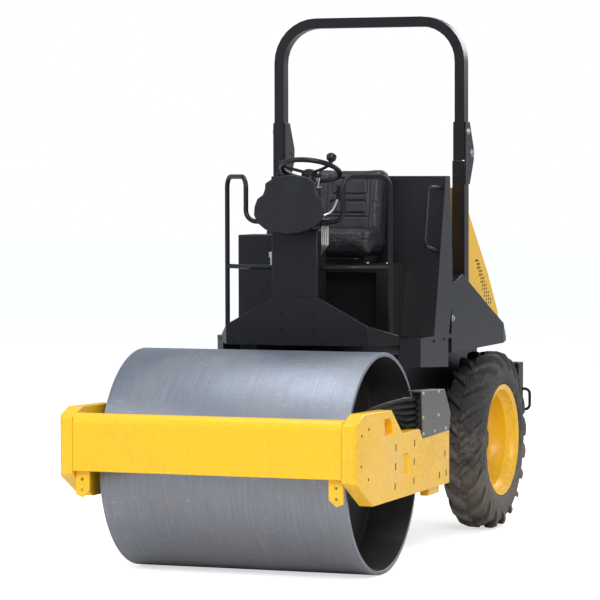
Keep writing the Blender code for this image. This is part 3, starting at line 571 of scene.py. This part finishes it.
def hose_set(word, side):
    """The hoses from the drum's motor up over the arm and into the guard, with their ferrules and clamp."""
    seat = DRUM_RADIUS + 0.14
    tubes, ferrules = [], []
    for count in range(5):
        start = -0.28 + 0.07 * count
        level = 0.912 - 0.034 * count
        route = [
            at(side * 0.615, start, seat + 0.02),
            at(side * 0.62, start + 0.01, seat + 0.075),
            at(side * (0.66 + 0.004 * count), start + 0.10, 0.872 - 0.008 * count),
            at(side * 0.745, 0.10 + 0.012 * count, level),
            at(side * 0.775, 0.20, level),
            at(side * 0.777, 0.30, level),
        ]
        path = through(route, 8)
        tubes.append(tube(path, sizes().hose, 3))
        along = (path[3] - path[1]).normalized()
        ferrules.append(cylinder(path[0], path[0] + along * 0.055, 0.0145, 16))
        ferrules.append(cylinder(path[0], path[0] + along * 0.022, 0.0175, 6))
    manifold = box_shape(at(side * 0.585, -0.31, seat + 0.0003), at(side * 0.645, 0.05, seat + 0.04))
    clamp = box_shape(at(side * 0.752, 0.285, 0.755), at(side * 0.80, 0.315, 0.93))
    piece(f"hose_bundle_{word}", merged(*tubes), "hose_rubber", "front_frame", (f"hoses_{word}",))
    piece(f"hose_ferrules_{word}", merged(*ferrules), "zinc", "front_frame", bevel=0.0008)
    piece(f"hose_manifold_{word}", merged(manifold, clamp), "cast_grey", "front_frame", bevel=0.002)


ARM_HOLES = ((-0.607, 0.818), (-0.716, 0.793), (-0.725, 0.639), (-0.615, 0.564))  # Y, Z
ARM_SLOTS = ((-0.184, 0.688), (-0.189, 0.591), (-0.198, 0.489), (0.121, 0.688), (0.114, 0.589), (0.109, 0.488),
             (0.639, 0.587), (0.664, 0.480), (0.544, 0.478))


def arm_details(word, side):
    """Discs and boxes of painted shade in the holes and weld slots of the arm's outer face, and the pin inside its
    window.
    """
    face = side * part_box(f"side_arm_{word}")[1 if side > 0 else 0].x * side
    inside, outside = face - side * 0.002, face + side * 0.0006
    # near-black discs and boxes of painted shade stand in for the shade inside the holes and slots
    hole_shade_discs = [cylinder(at(inside, y, z), at(outside, y, z), 0.008, 20) for y, z in ARM_HOLES]
    slot_shades = []
    for y, z in ARM_SLOTS:
        low, high = at(inside, y - 0.006, z - 0.018), at(outside, y + 0.006, z + 0.018)
        slot_shades.append(box_shape(low, high))
    piece(f"arm_hole_shades_{word}", merged(*hole_shade_discs, *slot_shades), "painted_shade_black", "front_frame")
    lug = cylinder(at(face - side * 0.049, -0.33, 0.785), at(face - side * 0.012, -0.33, 0.785), 0.016, 24)
    piece(f"arm_window_pin_{word}", lug, "zinc", "front_frame", bevel=0.002)


# Drum


def drum_looks():
    centre = Vector((0, DRUM.y, DRUM.z))
    wall, inset, thick, bore = 0.022, 0.25, 0.025, 0.1
    end, inner = DRUM_HALF, DRUM_RADIUS - wall
    half = [(end - 0.0045, DRUM_RADIUS), (end - 0.0015, DRUM_RADIUS - 0.0012), (end, DRUM_RADIUS - 0.0045),
            (end, inner + 0.002), (end - 0.002, inner), (end - inset + 0.012, inner), (end - inset, inner - 0.012),
            (end - inset, bore + 0.003), (end - inset - 0.003, bore)]
    back = [(end - inset - thick, bore), (end - inset - thick, inner - 0.012), (end - inset - thick - 0.012, inner)]
    profile = [*half, *back, *[(-x, r) for x, r in back[::-1]], *[(-x, r) for x, r in half[::-1]]]
    made = piece("drum_shell", turned(profile, 160, centre), "drum_steel", "drum", ("drum",), sharp=28)
    made.data.materials.append(finish_named("cast_grey"))
    for face in made.data.polygons:
        off = Vector((0, face.center.y - centre.y, face.center.z - centre.z)).length
        if abs(face.center.x) < end - 0.003 and off < inner + 0.001:
            face.material_index = 1


# Wheels


LUG_TOP = ((0.006, 0.0), (0.060, 0.0), (0.100, 0.012), (0.117, 0.043), (0.1245, 0.080))  # X, drop from the tread
CARCASS = ((0.0, 0.002), (0.055, 0.004), (0.090, 0.014), (0.108, 0.038), (0.118, 0.075))


def on_path(path, t):
    """The point at t, from 0 to 1, along a path of points evenly spaced in t."""
    whole = min(int(t * (len(path) - 1)), len(path) - 2)
    part = t * (len(path) - 1) - whole
    (a, b), (c, d) = path[whole], path[whole + 1]
    return a + (c - a) * part, b + (d - b) * part


def tyre_lug(heading, hand, crown, depth, width):
    """One slanted lug that starts near the middle and runs over the shoulder."""
    shape = bmesh.new()
    bmesh.ops.create_cube(shape, size=1)
    long_edges = [edge for edge in shape.edges if abs(edge.verts[0].co.x - edge.verts[1].co.x) > 0.5]
    bmesh.ops.subdivide_edges(shape, edges=long_edges, cuts=7, use_grid_fill=True)
    for vert in shape.verts:
        along, across, up = vert.co.x + 0.5, vert.co.y, vert.co.z + 0.5
        top_x, top_drop = on_path(LUG_TOP, along)
        low_x, low_drop = on_path(CARCASS, along)
        low_drop += depth
        x = low_x + (top_x - low_x) * up
        radius = crown - (low_drop + 0.006 + (top_drop - low_drop - 0.006) * up)
        flare = 1.25 - 0.25 * up
        turn = heading + 0.30 * along ** 0.85 + across * width * flare / radius
        vert.co = (hand * x, radius * math.sin(turn), radius * math.cos(turn))
    return outward(shape)


def tyre(word, side):
    centre = middle(f"rear_tyre_{word}")
    depth, width, crown = sizes().lug_depth, sizes().lug_width, TYRE_RADIUS - 0.001
    half = [(x, crown - drop - depth) for x, drop in CARCASS[1:]]
    half += [(0.1235, 0.40), (0.124, 0.375), (0.1225, 0.352), (0.118, 0.340), (0.110, 0.333), (0.1025, 0.3315),
             (0.1025, 0.3065)]
    profile = [*half[::-1], *[(-x, r) for x, r in half]]
    shapes = [turned(profile, 120, (0, 0, 0))]
    count = 20
    for step in range(count):
        for hand in (1, -1):
            heading = math.tau * (step + (0.5 if hand < 0 else 0)) / count
            shapes.append(tyre_lug(heading, hand, crown, depth, width))
    whole = merged(*shapes)
    bmesh.ops.translate(whole, vec=centre, verts=whole.verts)
    piece(f"tyre_{word}", whole, "tyre_rubber", f"rear_wheel_{word}", (f"rear_tyre_{word}",), sharp=30, bevel=0.004)


def rim(word, side):
    """The deep dished rim with its hub and wheel nuts."""
    centre = middle(f"rear_tyre_{word}")
    dish = -0.079
    profile = [
        (0.113, 0.322), (0.115, 0.328), (0.112, 0.3295), (0.103, 0.3290), (0.1015, 0.320), (0.101, 0.306),
        (0.070, 0.302), (0.055, 0.285), (-0.03, 0.283), (-0.055, 0.300), (-0.101, 0.306), (-0.1015, 0.320),
        (-0.103, 0.329), (-0.112, 0.3295), (-0.115, 0.328), (-0.113, 0.318), (-0.108, 0.300), (-0.06, 0.294),
        (dish + 0.012, 0.278), (dish, 0.258), (dish, 0.09), (dish + 0.009, 0.09), (dish + 0.010, 0.19),
        (dish + 0.028, 0.232), (dish + 0.030, 0.256), (-0.03, 0.270), (0.05, 0.273), (0.068, 0.292), (0.104, 0.298),
    ]
    wheel = f"rear_wheel_{word}"
    dished = turned(profile, 112, centre, side)
    made = piece(f"rim_{word}", dished, "yellow_paint", wheel, (f"rear_rim_{word}",), sharp=38)
    round_off(made, 0.0015)
    hub = [(dish - 0.0005, 0), (dish - 0.0005, 0.134), (dish + 0.018, 0.134), (dish + 0.026, 0.124),
           (dish + 0.060, 0.102), (-0.004, 0.084), (0.003, 0.076), (0.004, 0.03), (0.004, 0)]
    piece(f"hub_{word}", turned(hub, 64, centre, side), "hub_grey", wheel, bevel=0.002)
    nuts = []
    for step in range(8):
        angle = math.tau * (step + 0.5) / 8
        spot = centre + Vector((side * (dish + 0.009), 0.155 * math.sin(angle), 0.155 * math.cos(angle)))
        nuts += [bolt(spot, (side, 0, 0), 0.0135), cylinder(spot, spot + Vector((side * 0.026, 0, 0)), 0.008, 16)]
    for step in range(6):
        angle = math.tau * step / 6
        spot = centre + Vector((side * 0.0035, 0.055 * math.sin(angle), 0.055 * math.cos(angle)))
        nuts.append(bolt(spot, (side, 0, 0), 0.0075))
    piece(f"wheel_nuts_{word}", merged(*nuts), "hub_grey", wheel, bevel=0.0008)


# Rear frame and platform


def rear_frame_looks():
    edge, thick = sizes().edge, sizes().plate_edge
    table = (  # node, finish, rounding
        ("rear_frame", "black_paint", edge), ("rear_axle", "cast_grey", thick), ("engine_block", "cast_grey", thick),
        ("deck", "black_paint", edge), ("cowl", "black_paint", edge), ("console_column", "black_paint", 0.006),
        ("bulkhead", "black_paint", 0.006), ("side_console", "black_paint", 0.006), ("rear_body", "black_paint", edge),
        ("rear_bumper", "black_paint", thick), ("seat_pedestal", "black_paint", edge),
        ("rops_base_left", "black_paint", edge), ("rops_base_right", "black_paint", edge),
    )
    for node, finish, rounding in table:
        refined(node, finish, ROOT, rounding)
    refined("rops_hoop", "black_paint", "rops_hoop", 0.006)
    refined("steering_barrel", "black_paint", "steering_barrel", 0.002)
    refined("steering_rod", "chrome", "steering_rod", 0.001)
    for word, side in SIDES:
        loop = [(side * x, 2.83, z) for x, z in ((0.6003, 0.785), (0.655, 0.785), (0.655, 0.66), (0.6003, 0.66))]
        path = rounded([at(*corner) for corner in loop], 0.03, 8)
        piece(f"lashing_eye_{word}", tube(path, 0.009), "black_paint", ROOT, (f"tie_down_{word}",))
    low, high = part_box("grab_handle")
    ends = [(0.585, high.y, high.z - 0.0095), (0.555, high.y - 0.131, high.z - 0.0095)]
    ends += [(0.555, high.y - 0.131 - 0.0782, low.z + 0.0395), (0.585, high.y - 0.0853, low.z + 0.0095)]
    piece("grab_bar", tube(rounded(ends, 0.03, 8), 0.0095), "black_paint", ROOT, ("grab_handle",))


def handrails():
    """The outer posts with their loops, and the bars at knee height."""
    for word, side in SIDES:
        low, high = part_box(f"handrail_{word}")
        foot, top = low.z, high.z - 0.0135
        corners = [at(side * x, y, z) for x, y, z in (
            (0.48, 0.716, foot), (0.48, 0.716, top), (0.284, 0.503, top), (0.284, 0.503, 1.845), (0.1353, 0.503, 1.845))]
        bar = [at(side * x, y, 1.591) for x, y in ((0.48, 0.716), (0.30, 0.60), (0.1233, 0.60))]
        collar = cylinder(corners[0], corners[0] + Vector((0, 0, 0.006)), 0.030, 24)
        whole = merged(tube(rounded(corners, 0.06), 0.0135), tube(rounded(bar, 0.06), 0.0125), collar)
        piece(f"handrail_tube_{word}", whole, "black_paint", ROOT, (f"handrail_{word}",))


GRILLE_TOP, GRILLE_LOW = 1.585, 1.325  # Z
GRILLE_FRONT, GRILLE_REAR = (2.205, 2.42), (2.255, 2.525)  # Y at the top and at the bottom


def hood_looks():
    """The engine cover, with near-black discs of painted shade for the holes of its side grilles."""
    refined("hood", "yellow_paint", "hood", 0.012)
    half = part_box("hood")[1].x
    rows, columns = 13, 3
    for word, side in SIDES:
        grille_shade_discs = []
        for row in range(rows):
            down = row / (rows - 1)
            z = GRILLE_TOP + (GRILLE_LOW - GRILLE_TOP) * down
            first, last = (near + (far - near) * down for near, far in (GRILLE_FRONT, GRILLE_REAR))
            for column in range(columns):
                y = first + (last - first) * (column + 0.5 * (row % 2)) / (columns - 0.5)
                # each disc is near-black painted shade standing in for the dark inside of a grille hole
                grille_shade_discs.append(cylinder(at(side * (half - 0.004), y, z), at(side * (half + 0.0006), y, z), 0.0085, 6))
        piece(f"hood_grille_shade_{word}", merged(*grille_shade_discs), "painted_shade_black", "hood")


def bolt_sets():
    size = sizes().bolt
    places = []
    for side in (1, -1):
        for x in (0.15, 0.26, 0.37):
            places.append((at(side * x, 0.53, 1.185), (0, -1, 0), size * 0.8))
        for z in (1.25, 1.34):
            places.append((at(side * 0.095, 0.53, z), (0, -1, 0), size * 0.8))
        for x in (0.36, 0.55):
            places.append((at(side * 0.605, 0.75 + x, 1.17), (side, 0, 0), size * 0.8))
    bolts("cowl_bolts", places, "black_paint", ROOT)
    lock = []
    outer = 0.585
    for side in (1, -1):
        lock.append((at(side * (outer + 0.010), 1.765, 2.345), (side, 0, 0), 0.014))
        lock.append((at(side * (outer + 0.010), 1.84, 2.22), (side, 0, 0), 0.015))
        lock.append((at(side * 0.60, 1.463, 1.279), (side, 0, 0), 0.013))
    bolts("rops_bolts", lock, "zinc", ROOT)
    seat_bolts = [(at(x, 0.945, 1.605), (0, 0, 1), size) for x in (-0.20, -0.1, 0.27, 0.385)]
    bolts("pedestal_bolts", seat_bolts, "zinc", ROOT)


def pedestal_louvres():
    """Thin near-black boxes of painted shade for the pressed slots on the pedestal's left cheek."""
    slot_shades = []
    for step in range(9):
        z = 1.402 + 0.0165 * step
        # each thin box is near-black painted shade standing in for the shade inside a pressed slot
        slot_shades.append(box_shape(at(0.336, 0.9485, z - 0.003), at(0.383, 0.9515, z + 0.003)))
    piece("pedestal_slot_shades", merged(*slot_shades), "painted_shade_black", ROOT)


# Controls


POD_HALF = 0.135
POD_LOW, POD_TOP = 1.80, 2.04
POD_REAR = 0.58
WHEEL_SPOT = at(0, 0.76, 2.125)
WHEEL_TILT = Matrix.Rotation(math.radians(-21), 3, "X")
SHIELD = ((0.0, 1.772), (0.074, 1.781), (0.13, 1.80), (0.178, 1.835), (0.201, 1.88), (0.201, 1.925), (0.188, 1.968),
          (0.158, 1.99), (0.148, 2.02), (0.148, 2.055), (0.095, 2.09), (0.0, 2.104))  # X, Z


def console_looks():
    """The curved shield, the housing behind it, the dome under the steering wheel, gauges and switches."""
    lean = Matrix.Rotation(math.radians(-12), 3, "X")
    outline = [*SHIELD, *[(-x, z) for x, z in SHIELD[-2:0:-1]]]
    shape = bmesh.new()
    face = shape.faces.new([shape.verts.new((x, -0.0125, z - 1.94)) for x, z in outline])
    raised = bmesh.ops.extrude_face_region(shape, geom=[face])["geom"]
    corners = [item for item in raised if isinstance(item, bmesh.types.BMVert)]
    bmesh.ops.translate(shape, vec=(0, 0.025, 0), verts=corners)
    outward(shape)
    bmesh.ops.rotate(shape, verts=shape.verts, matrix=lean)
    bmesh.ops.translate(shape, vec=at(0, 0.43, 1.94), verts=shape.verts)
    housing = box_shape(at(-POD_HALF, 0.436, POD_LOW), at(POD_HALF, POD_REAR, POD_TOP))
    foot = box_shape(at(-0.06, 0.54, POD_LOW), at(0.06, 0.66, POD_LOW + 0.06))
    piece("console_shield", shape, "moulding", ROOT, ("console_pod",), bevel=0.006)
    piece("console_housing", housing, "moulding", ROOT, bevel=0.012)
    piece("console_foot", foot, "moulding", ROOT, bevel=0.004)
    axis = WHEEL_TILT @ Vector((0, 0, 1))
    boss = merged(
        cylinder(WHEEL_SPOT - axis * 0.325, WHEEL_SPOT - axis * 0.075, 0.049, 40, 0.053),
        cylinder(WHEEL_SPOT - axis * 0.078, WHEEL_SPOT - axis * 0.043, 0.055, 40, 0.046),
    )
    piece("steering_boss", boss, "moulding", ROOT, bevel=0.004)
    dials, rings = [], []
    for x, y in ((-0.085, 0.50), (0.0, 0.485), (0.085, 0.50)):
        spot = at(x, y, POD_TOP)
        rings.append(cylinder(spot - Vector((0, 0, 0.002)), spot + Vector((0, 0, 0.009)), 0.027, 32))
        dials.append(cylinder(spot, spot + Vector((0, 0, 0.0095)), 0.0225, 32))
    piece("gauge_rings", merged(*rings), "moulding", ROOT, bevel=0.002)
    piece("gauge_faces", merged(*dials), "white_lens", ROOT)
    knobs, stems = [], []
    for x, y in ((0.05, 0.553), (0.12, 0.553), (-0.12, 0.553)):
        spot = at(x, y, POD_TOP - 0.002)
        stems.append(cylinder(spot, spot + Vector((0.01, 0, 0.05)), 0.004, 12))
        knobs.append(cylinder(spot + Vector((0.009, 0, 0.045)), spot + Vector((0.012, 0, 0.07)), 0.009, 20, 0.012))
    piece("switch_stems", merged(*stems), "zinc", ROOT)
    piece("switch_knobs", merged(*knobs), "moulding", ROOT, bevel=0.003)


def lever_and_pipes():
    """The travel lever beside the column, the four bright pipes under the housing and the key switch."""
    column_right, column_left = (corner.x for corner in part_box("console_column"))
    pipes = []
    for step in range(4):
        x = POD_HALF + 0.005 + 0.0115 * step
        path = rounded([at(x, 0.56, 1.862), at(x, 0.56, 1.72), at(column_left - 0.001, 0.60, 1.66)], 0.02, 5)
        pipes.append(tube(path, 0.0045, 2))
    piece("column_pipes", merged(*pipes), "zinc", ROOT)
    clamp = box_shape(at(POD_HALF - 0.001, 0.548, 1.822), at(POD_HALF + 0.047, 0.572, 1.85))
    piece("pipe_clamp", clamp, "moulding", ROOT, bevel=0.002)
    stem = tube(through([at(0.12, 0.572, 1.87), at(0.18, 0.60, 1.90), at(0.215, 0.62, 1.98)], 6), 0.006, 3)
    piece("travel_lever", stem, "zinc", ROOT)
    grip = cylinder(at(0.214, 0.619, 1.965), at(0.222, 0.623, 2.045), 0.013, 24, 0.017)
    piece("travel_lever_grip", grip, "moulding", ROOT, bevel=0.005)
    key = merged(
        cylinder(at(column_right + 0.001, 0.60, 1.66), at(column_right - 0.013, 0.60, 1.66), 0.014, 24),
        box_shape(at(column_right - 0.036, 0.598, 1.645), at(column_right - 0.012, 0.602, 1.675)),
        box_shape(at(column_right - 0.028, 0.5985, 1.60), at(column_right - 0.020, 0.6015, 1.65)),
    )
    piece("key_switch", key, "zinc", ROOT, bevel=0.0008)


def steering_wheel_looks():
    """The round rim, three pressed spokes, the hub cap and the spinner knob."""
    spot = Matrix.Translation(WHEEL_SPOT) @ WHEEL_TILT.to_4x4()
    radius, grip = 0.1625, sizes().grip
    ring = bmesh.new()
    points = [ring.verts.new((radius + grip * math.cos(math.tau * k / 14), 0, grip * math.sin(math.tau * k / 14)))
              for k in range(14)]
    edges = [ring.edges.new(pair) for pair in zip(points, points[1:] + points[:1])]
    bmesh.ops.spin(
        ring, geom=points + edges, axis=(0, 0, 1), cent=(0, 0, 0), angle=math.tau, steps=72, use_merge=True
    )
    outward(ring)
    spokes = []
    for angle in (90, 210, 330):
        along = Vector((math.cos(math.radians(angle)), math.sin(math.radians(angle)), 0))
        path = through([along * 0.02 - Vector((0, 0, 0.018)), along * 0.10 - Vector((0, 0, 0.012)), along * radius], 5)
        spokes.append(tube(path, 0.0088, 3))
    cap = cylinder((0, 0, -0.0415), (0, 0, -0.019), 0.0475, 40)
    dome = cylinder((0, 0, -0.020), (0, 0, -0.004), 0.0475, 40, 0.032)
    knob_x, knob_y = 0.143, -0.077
    heights = ((0.0, 0.0105), (0.020, 0.0115), (0.034, 0.0265), (0.056, 0.0285), (0.0675, 0.017))  # Z, radius
    stages = [
        cylinder((knob_x, knob_y, low), (knob_x, knob_y, high), lower, 28, upper)
        for (low, lower), (high, upper) in zip(heights, heights[1:])
    ]
    knob = merged(*stages)
    whole = merged(ring, *spokes, cap, dome, knob)
    bmesh.ops.transform(whole, matrix=spot, verts=whole.verts)
    piece("steering_wheel_rim", whole, "moulding", "steering_wheel", ("steering_wheel",), bevel=0.0015)


# Seat


def groove(distance, half_width):
    """How deep a seam lies at that distance from its line, from 0 to 1."""
    return max(0.0, 1 - distance / half_width) ** 1.5


def frame_distance(x, z, half_x, half_z, corner):
    """The distance from the outline of a rounded rectangle round 0, 0."""
    dx, dz = abs(x) - half_x + corner, abs(z) - half_z + corner
    outside = math.hypot(max(dx, 0), max(dz, 0)) + min(max(dx, dz), 0) - corner
    return abs(outside)


def swollen(made, cap):
    """Blows the cover up over its foam; no point moves more than cap."""
    scene = bpy.context.scene
    before = [vert.co.copy() for vert in made.data.vertices]
    cover = made.modifiers.new("Cover", "CLOTH")
    cover.settings.use_pressure = True
    cover.settings.uniform_pressure_force = 4
    cover.settings.effector_weights.gravity = 0
    cover.point_cache.frame_start, cover.point_cache.frame_end = 1, 20
    for step in range(1, 21):
        scene.frame_set(step)
    graph = bpy.context.evaluated_depsgraph_get()
    after = [vert.co.copy() for vert in made.evaluated_get(graph).data.vertices]
    made.modifiers.remove(cover)
    scene.frame_set(1)
    for vert, old, new in zip(made.data.vertices, before, after):
        move = new - old
        vert.co = old + move * min(1, cap / max(move.length, 1e-9))


def remeshed(name, shape, voxel):
    """The shape as an even skin of small faces."""
    mesh = bpy.data.meshes.new(name)
    shape.to_mesh(mesh)
    shape.free()
    made = bpy.data.objects.new(name, mesh)
    bpy.context.scene.collection.objects.link(made)
    skin = made.modifiers.new("Skin", "REMESH")
    skin.mode = "VOXEL"
    skin.voxel_size = voxel
    graph = bpy.context.evaluated_depsgraph_get()
    made.data = bpy.data.meshes.new_from_object(made.evaluated_get(graph))
    made.modifiers.remove(skin)
    return made


def padded_piece(name, shape, node, cap, sink, voxel=0.006):
    """A swollen cushion with its seams pressed in afterwards by sink(place), which gives a move."""
    made = remeshed(name, shape, voxel)
    swollen(made, cap)
    smooth = bmesh.new()
    smooth.from_mesh(made.data)
    for _ in range(4):
        bmesh.ops.smooth_vert(
            smooth, verts=smooth.verts, factor=0.5, use_axis_x=True, use_axis_y=True, use_axis_z=True
        )
    bmesh.ops.subdivide_edges(smooth, edges=smooth.edges, cuts=1, use_grid_fill=True)
    smooth.normal_update()
    moves = [sink(vert.co, vert.normal) for vert in smooth.verts]
    for vert, move in zip(smooth.verts, moves):
        vert.co += move
    smooth.to_mesh(made.data)
    smooth.free()
    made.data.shade_smooth()
    made.data.materials.clear()
    made.data.materials.append(finish_named("vinyl"))
    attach(made, ROOT)
    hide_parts(node)
    return made


def seat_back():
    low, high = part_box("seat_back")
    centre = (low + high) / 2
    shrink = 0.014
    shape = copied("seat_back")
    for vert in shape.verts:
        off = vert.co - centre
        size = (high - low) / 2
        vert.co = centre + Vector([off[k] * (1 - shrink / size[k]) for k in range(3)])
    depth = sizes().seam

    def sink(place, normal):
        if normal.y > -0.35:
            return Vector((0, 0, 0))
        x, z = place.x - centre.x, place.z - low.z
        deep = 0.9 * groove(frame_distance(x, z - 0.262, 0.125, 0.182, 0.03), 0.011)
        for middle_z, half_z in ((0.373, 0.052), (0.257, 0.042)):
            deep = max(deep, groove(frame_distance(x, z - middle_z, 0.105, half_z - 0.008, 0.014), 0.009))
        deep = max(deep, 0.8 * groove(abs(z - 0.202), 0.007) * (abs(x) < 0.122))
        swell = 0.6 * max(0.0, 1 - (abs(x) - 0.165) ** 2 / 0.0016)
        return Vector((0, deep * depth - swell * depth, 0))

    padded_piece("backrest", shape, "seat_back", 0.012, sink)


def seat_base():
    low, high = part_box("seat_cushion")
    centre = (low + high) / 2
    shrink = 0.014
    shape = copied("seat_cushion")
    for vert in shape.verts:
        off = vert.co - centre
        size = (high - low) / 2
        vert.co = centre + Vector([off[k] * (1 - shrink / size[k]) for k in range(3)])
    depth = sizes().seam

    def sink(place, normal):
        x, y = place.x - centre.x, place.y - low.y
        if normal.z < 0.3:
            band = groove(abs(place.z - centre.z - 0.018), 0.006) * (abs(normal.z) < 0.5)
            return -normal * band * depth * 0.7
        deep = 0.9 * groove(frame_distance(x, y - 0.20, 0.150, 0.145, 0.03), 0.010)
        for step in range(3):
            deep = max(deep, groove(abs(y - 0.13 - 0.07 * step), 0.008) * (abs(x) < 0.148))
        return Vector((0, 0, -deep * depth))

    padded_piece("seat_cushion_cover", shape, "seat_cushion", 0.012, sink)


def seat_frame():
    """The bent bar in front that frees the seat's slides."""
    corners = [at(x, y, 1.632) for x, y in ((-0.06, 0.975), (-0.06, 0.89), (0.23, 0.89), (0.23, 0.975))]
    handle = rounded(corners, 0.02, 5)
    piece("seat_slide_handle", tube(handle, 0.006, 3), "black_paint", ROOT)


# Stage


def stage():
    scene = bpy.context.scene
    camera = bpy.data.objects.new("camera", bpy.data.cameras.new("camera"))
    scene.collection.objects.link(camera)
    camera.location = at(6.031, -15.478, 2.168)
    camera.rotation_euler = (math.pi / 2 - 0.044, 0.002, 0.359)
    camera.data.sensor_width = 36
    camera.data.lens = 187.5
    camera.data.clip_end = 200
    scene.camera = camera
    scene.view_settings.view_transform = "Standard"
    lamps = (  # name, place, aimed at, size, watts, colour
        ("key", (5.0, -9.0, 6.5), (0, 0, 0.8), 4.5, 640, (1.0, 0.97, 0.93)),
        ("fill", (-7.5, -6.5, 4.5), (0, -0.5, 0.9), 5.0, 330, (0.86, 0.92, 1.0)),
        ("rear", (2.5, 8.0, 6.0), (0, 0.5, 1.2), 5.0, 400, (1.0, 1.0, 1.0)),
        ("top", (0.0, -1.5, 9.0), (0, -0.5, 0), 6.0, 380, (0.88, 0.93, 1.0)),
    )
    for name, place, aim, size, watts, tone in lamps:
        light = bpy.data.lights.new(name, "AREA")
        light.energy = watts
        light.size = size
        light.color = tone
        lamp = bpy.data.objects.new(name, light)
        lamp.location = place
        lamp.rotation_euler = (Vector(aim) - Vector(place)).to_track_quat("-Z", "Y").to_euler()
        scene.collection.objects.link(lamp)
    floor_and_world(scene)


def floor_and_world(scene):
    floor_mesh = bpy.data.meshes.new("floor")
    shape = bmesh.new()
    bmesh.ops.create_grid(shape, x_segments=1, y_segments=1, size=60)
    shape.to_mesh(floor_mesh)
    shape.free()
    floor = bpy.data.objects.new("floor", floor_mesh)
    scene.collection.objects.link(floor)
    plain = bpy.data.materials.new("floor")
    plain.use_nodes = True
    tree = plain.node_tree
    shader = tree.nodes["Principled BSDF"]
    shader.inputs["Base Color"].default_value = (0.80, 0.78, 0.76, 1)
    shader.inputs["Roughness"].default_value = 0.9
    shader.inputs["Specular IOR Level"].default_value = 0.0
    shader.inputs["Emission Color"].default_value = (1, 1, 1, 1)
    seen = tree.nodes.new("ShaderNodeLightPath")
    lift = tree.nodes.new("ShaderNodeMath")
    lift.operation = "MULTIPLY"
    lift.inputs[1].default_value = 0.62
    tree.links.new(seen.outputs["Is Camera Ray"], lift.inputs[0])
    tree.links.new(lift.outputs[0], shader.inputs["Emission Strength"])
    floor_mesh.materials.append(plain)
    world = bpy.data.worlds.new("studio")
    scene.world = world
    world.use_nodes = True
    nodes, links = world.node_tree.nodes, world.node_tree.links
    back = nodes["Background"]
    back.inputs["Color"].default_value = (0.80, 0.88, 1.0, 1)
    back.inputs["Strength"].default_value = 0.55
    white = nodes.new("ShaderNodeBackground")
    white.inputs["Color"].default_value = (1, 1, 1, 1)
    path = nodes.new("ShaderNodeLightPath")
    choose = nodes.new("ShaderNodeMixShader")
    links.new(path.outputs["Is Camera Ray"], choose.inputs[0])
    links.new(back.outputs[0], choose.inputs[1])
    links.new(white.outputs[0], choose.inputs[2])
    links.new(choose.outputs[0], nodes["World Output"].inputs["Surface"])


# Operators


class ROLLER_OT_front_frame(bpy.types.Operator):
    """Builds the yoke with its guards, hoses and bolts"""

    bl_idname = "roller.front_frame"
    bl_label = "Front frame"

    def execute(self, context):
        front_frame_looks()
        return {"FINISHED"}


class ROLLER_OT_drum(bpy.types.Operator):
    """Builds the steel drum"""

    bl_idname = "roller.drum"
    bl_label = "Drum"

    def execute(self, context):
        drum_looks()
        return {"FINISHED"}


class ROLLER_OT_wheels(bpy.types.Operator):
    """Builds the lugged tyres on their dished rims"""

    bl_idname = "roller.wheels"
    bl_label = "Rear wheels"

    def execute(self, context):
        for word, side in SIDES:
            tyre(word, side)
            rim(word, side)
        return {"FINISHED"}


class ROLLER_OT_rear_frame(bpy.types.Operator):
    """Builds the rear frame, platform, roll bar, rails and hood"""

    bl_idname = "roller.rear_frame"
    bl_label = "Rear frame"

    def execute(self, context):
        rear_frame_looks()
        handrails()
        hood_looks()
        bolt_sets()
        pedestal_louvres()
        return {"FINISHED"}


class ROLLER_OT_controls(bpy.types.Operator):
    """Builds the console, its levers and the steering wheel"""

    bl_idname = "roller.controls"
    bl_label = "Controls"

    def execute(self, context):
        console_looks()
        lever_and_pipes()
        steering_wheel_looks()
        return {"FINISHED"}


class ROLLER_OT_seat(bpy.types.Operator):
    """Builds the padded seat"""

    bl_idname = "roller.seat"
    bl_label = "Seat"

    def execute(self, context):
        seat_back()
        seat_base()
        seat_frame()
        return {"FINISHED"}


class ROLLER_OT_stage(bpy.types.Operator):
    """Sets the camera, lamps, floor and world"""

    bl_idname = "roller.stage"
    bl_label = "Stage"

    def execute(self, context):
        stage()
        return {"FINISHED"}


OPERATORS = (ROLLER_OT_stage, ROLLER_OT_front_frame, ROLLER_OT_drum, ROLLER_OT_wheels, ROLLER_OT_rear_frame,
             ROLLER_OT_controls, ROLLER_OT_seat)


class ROLLER_PT_panel(bpy.types.Panel):
    """Lists the roller's operators, sizes and colours"""

    bl_idname = "ROLLER_PT_panel"
    bl_label = "Road roller"
    bl_space_type = "VIEW_3D"
    bl_region_type = "UI"
    bl_category = "Roller"

    def draw(self, context):
        for group in (context.scene.roller_sizes, context.scene.roller_colours):
            for key in group.__annotations__:
                self.layout.prop(group, key)
        for operator in OPERATORS:
            self.layout.operator(operator.bl_idname)


CLASSES = (RollerSizes, RollerColours, *OPERATORS, ROLLER_PT_panel)


def register():
    for each in CLASSES:
        bpy.utils.register_class(each)
    bpy.types.Scene.roller_sizes = bpy.props.PointerProperty(type=RollerSizes)
    bpy.types.Scene.roller_colours = bpy.props.PointerProperty(type=RollerColours)


def unregister():
    del bpy.types.Scene.roller_colours
    del bpy.types.Scene.roller_sizes
    for each in reversed(CLASSES):
        bpy.utils.unregister_class(each)


def main():
    register()
    for operator in OPERATORS:
        group, name = operator.bl_idname.split(".")
        getattr(getattr(bpy.ops, group), name)()


if __name__ == "__main__":
    main()
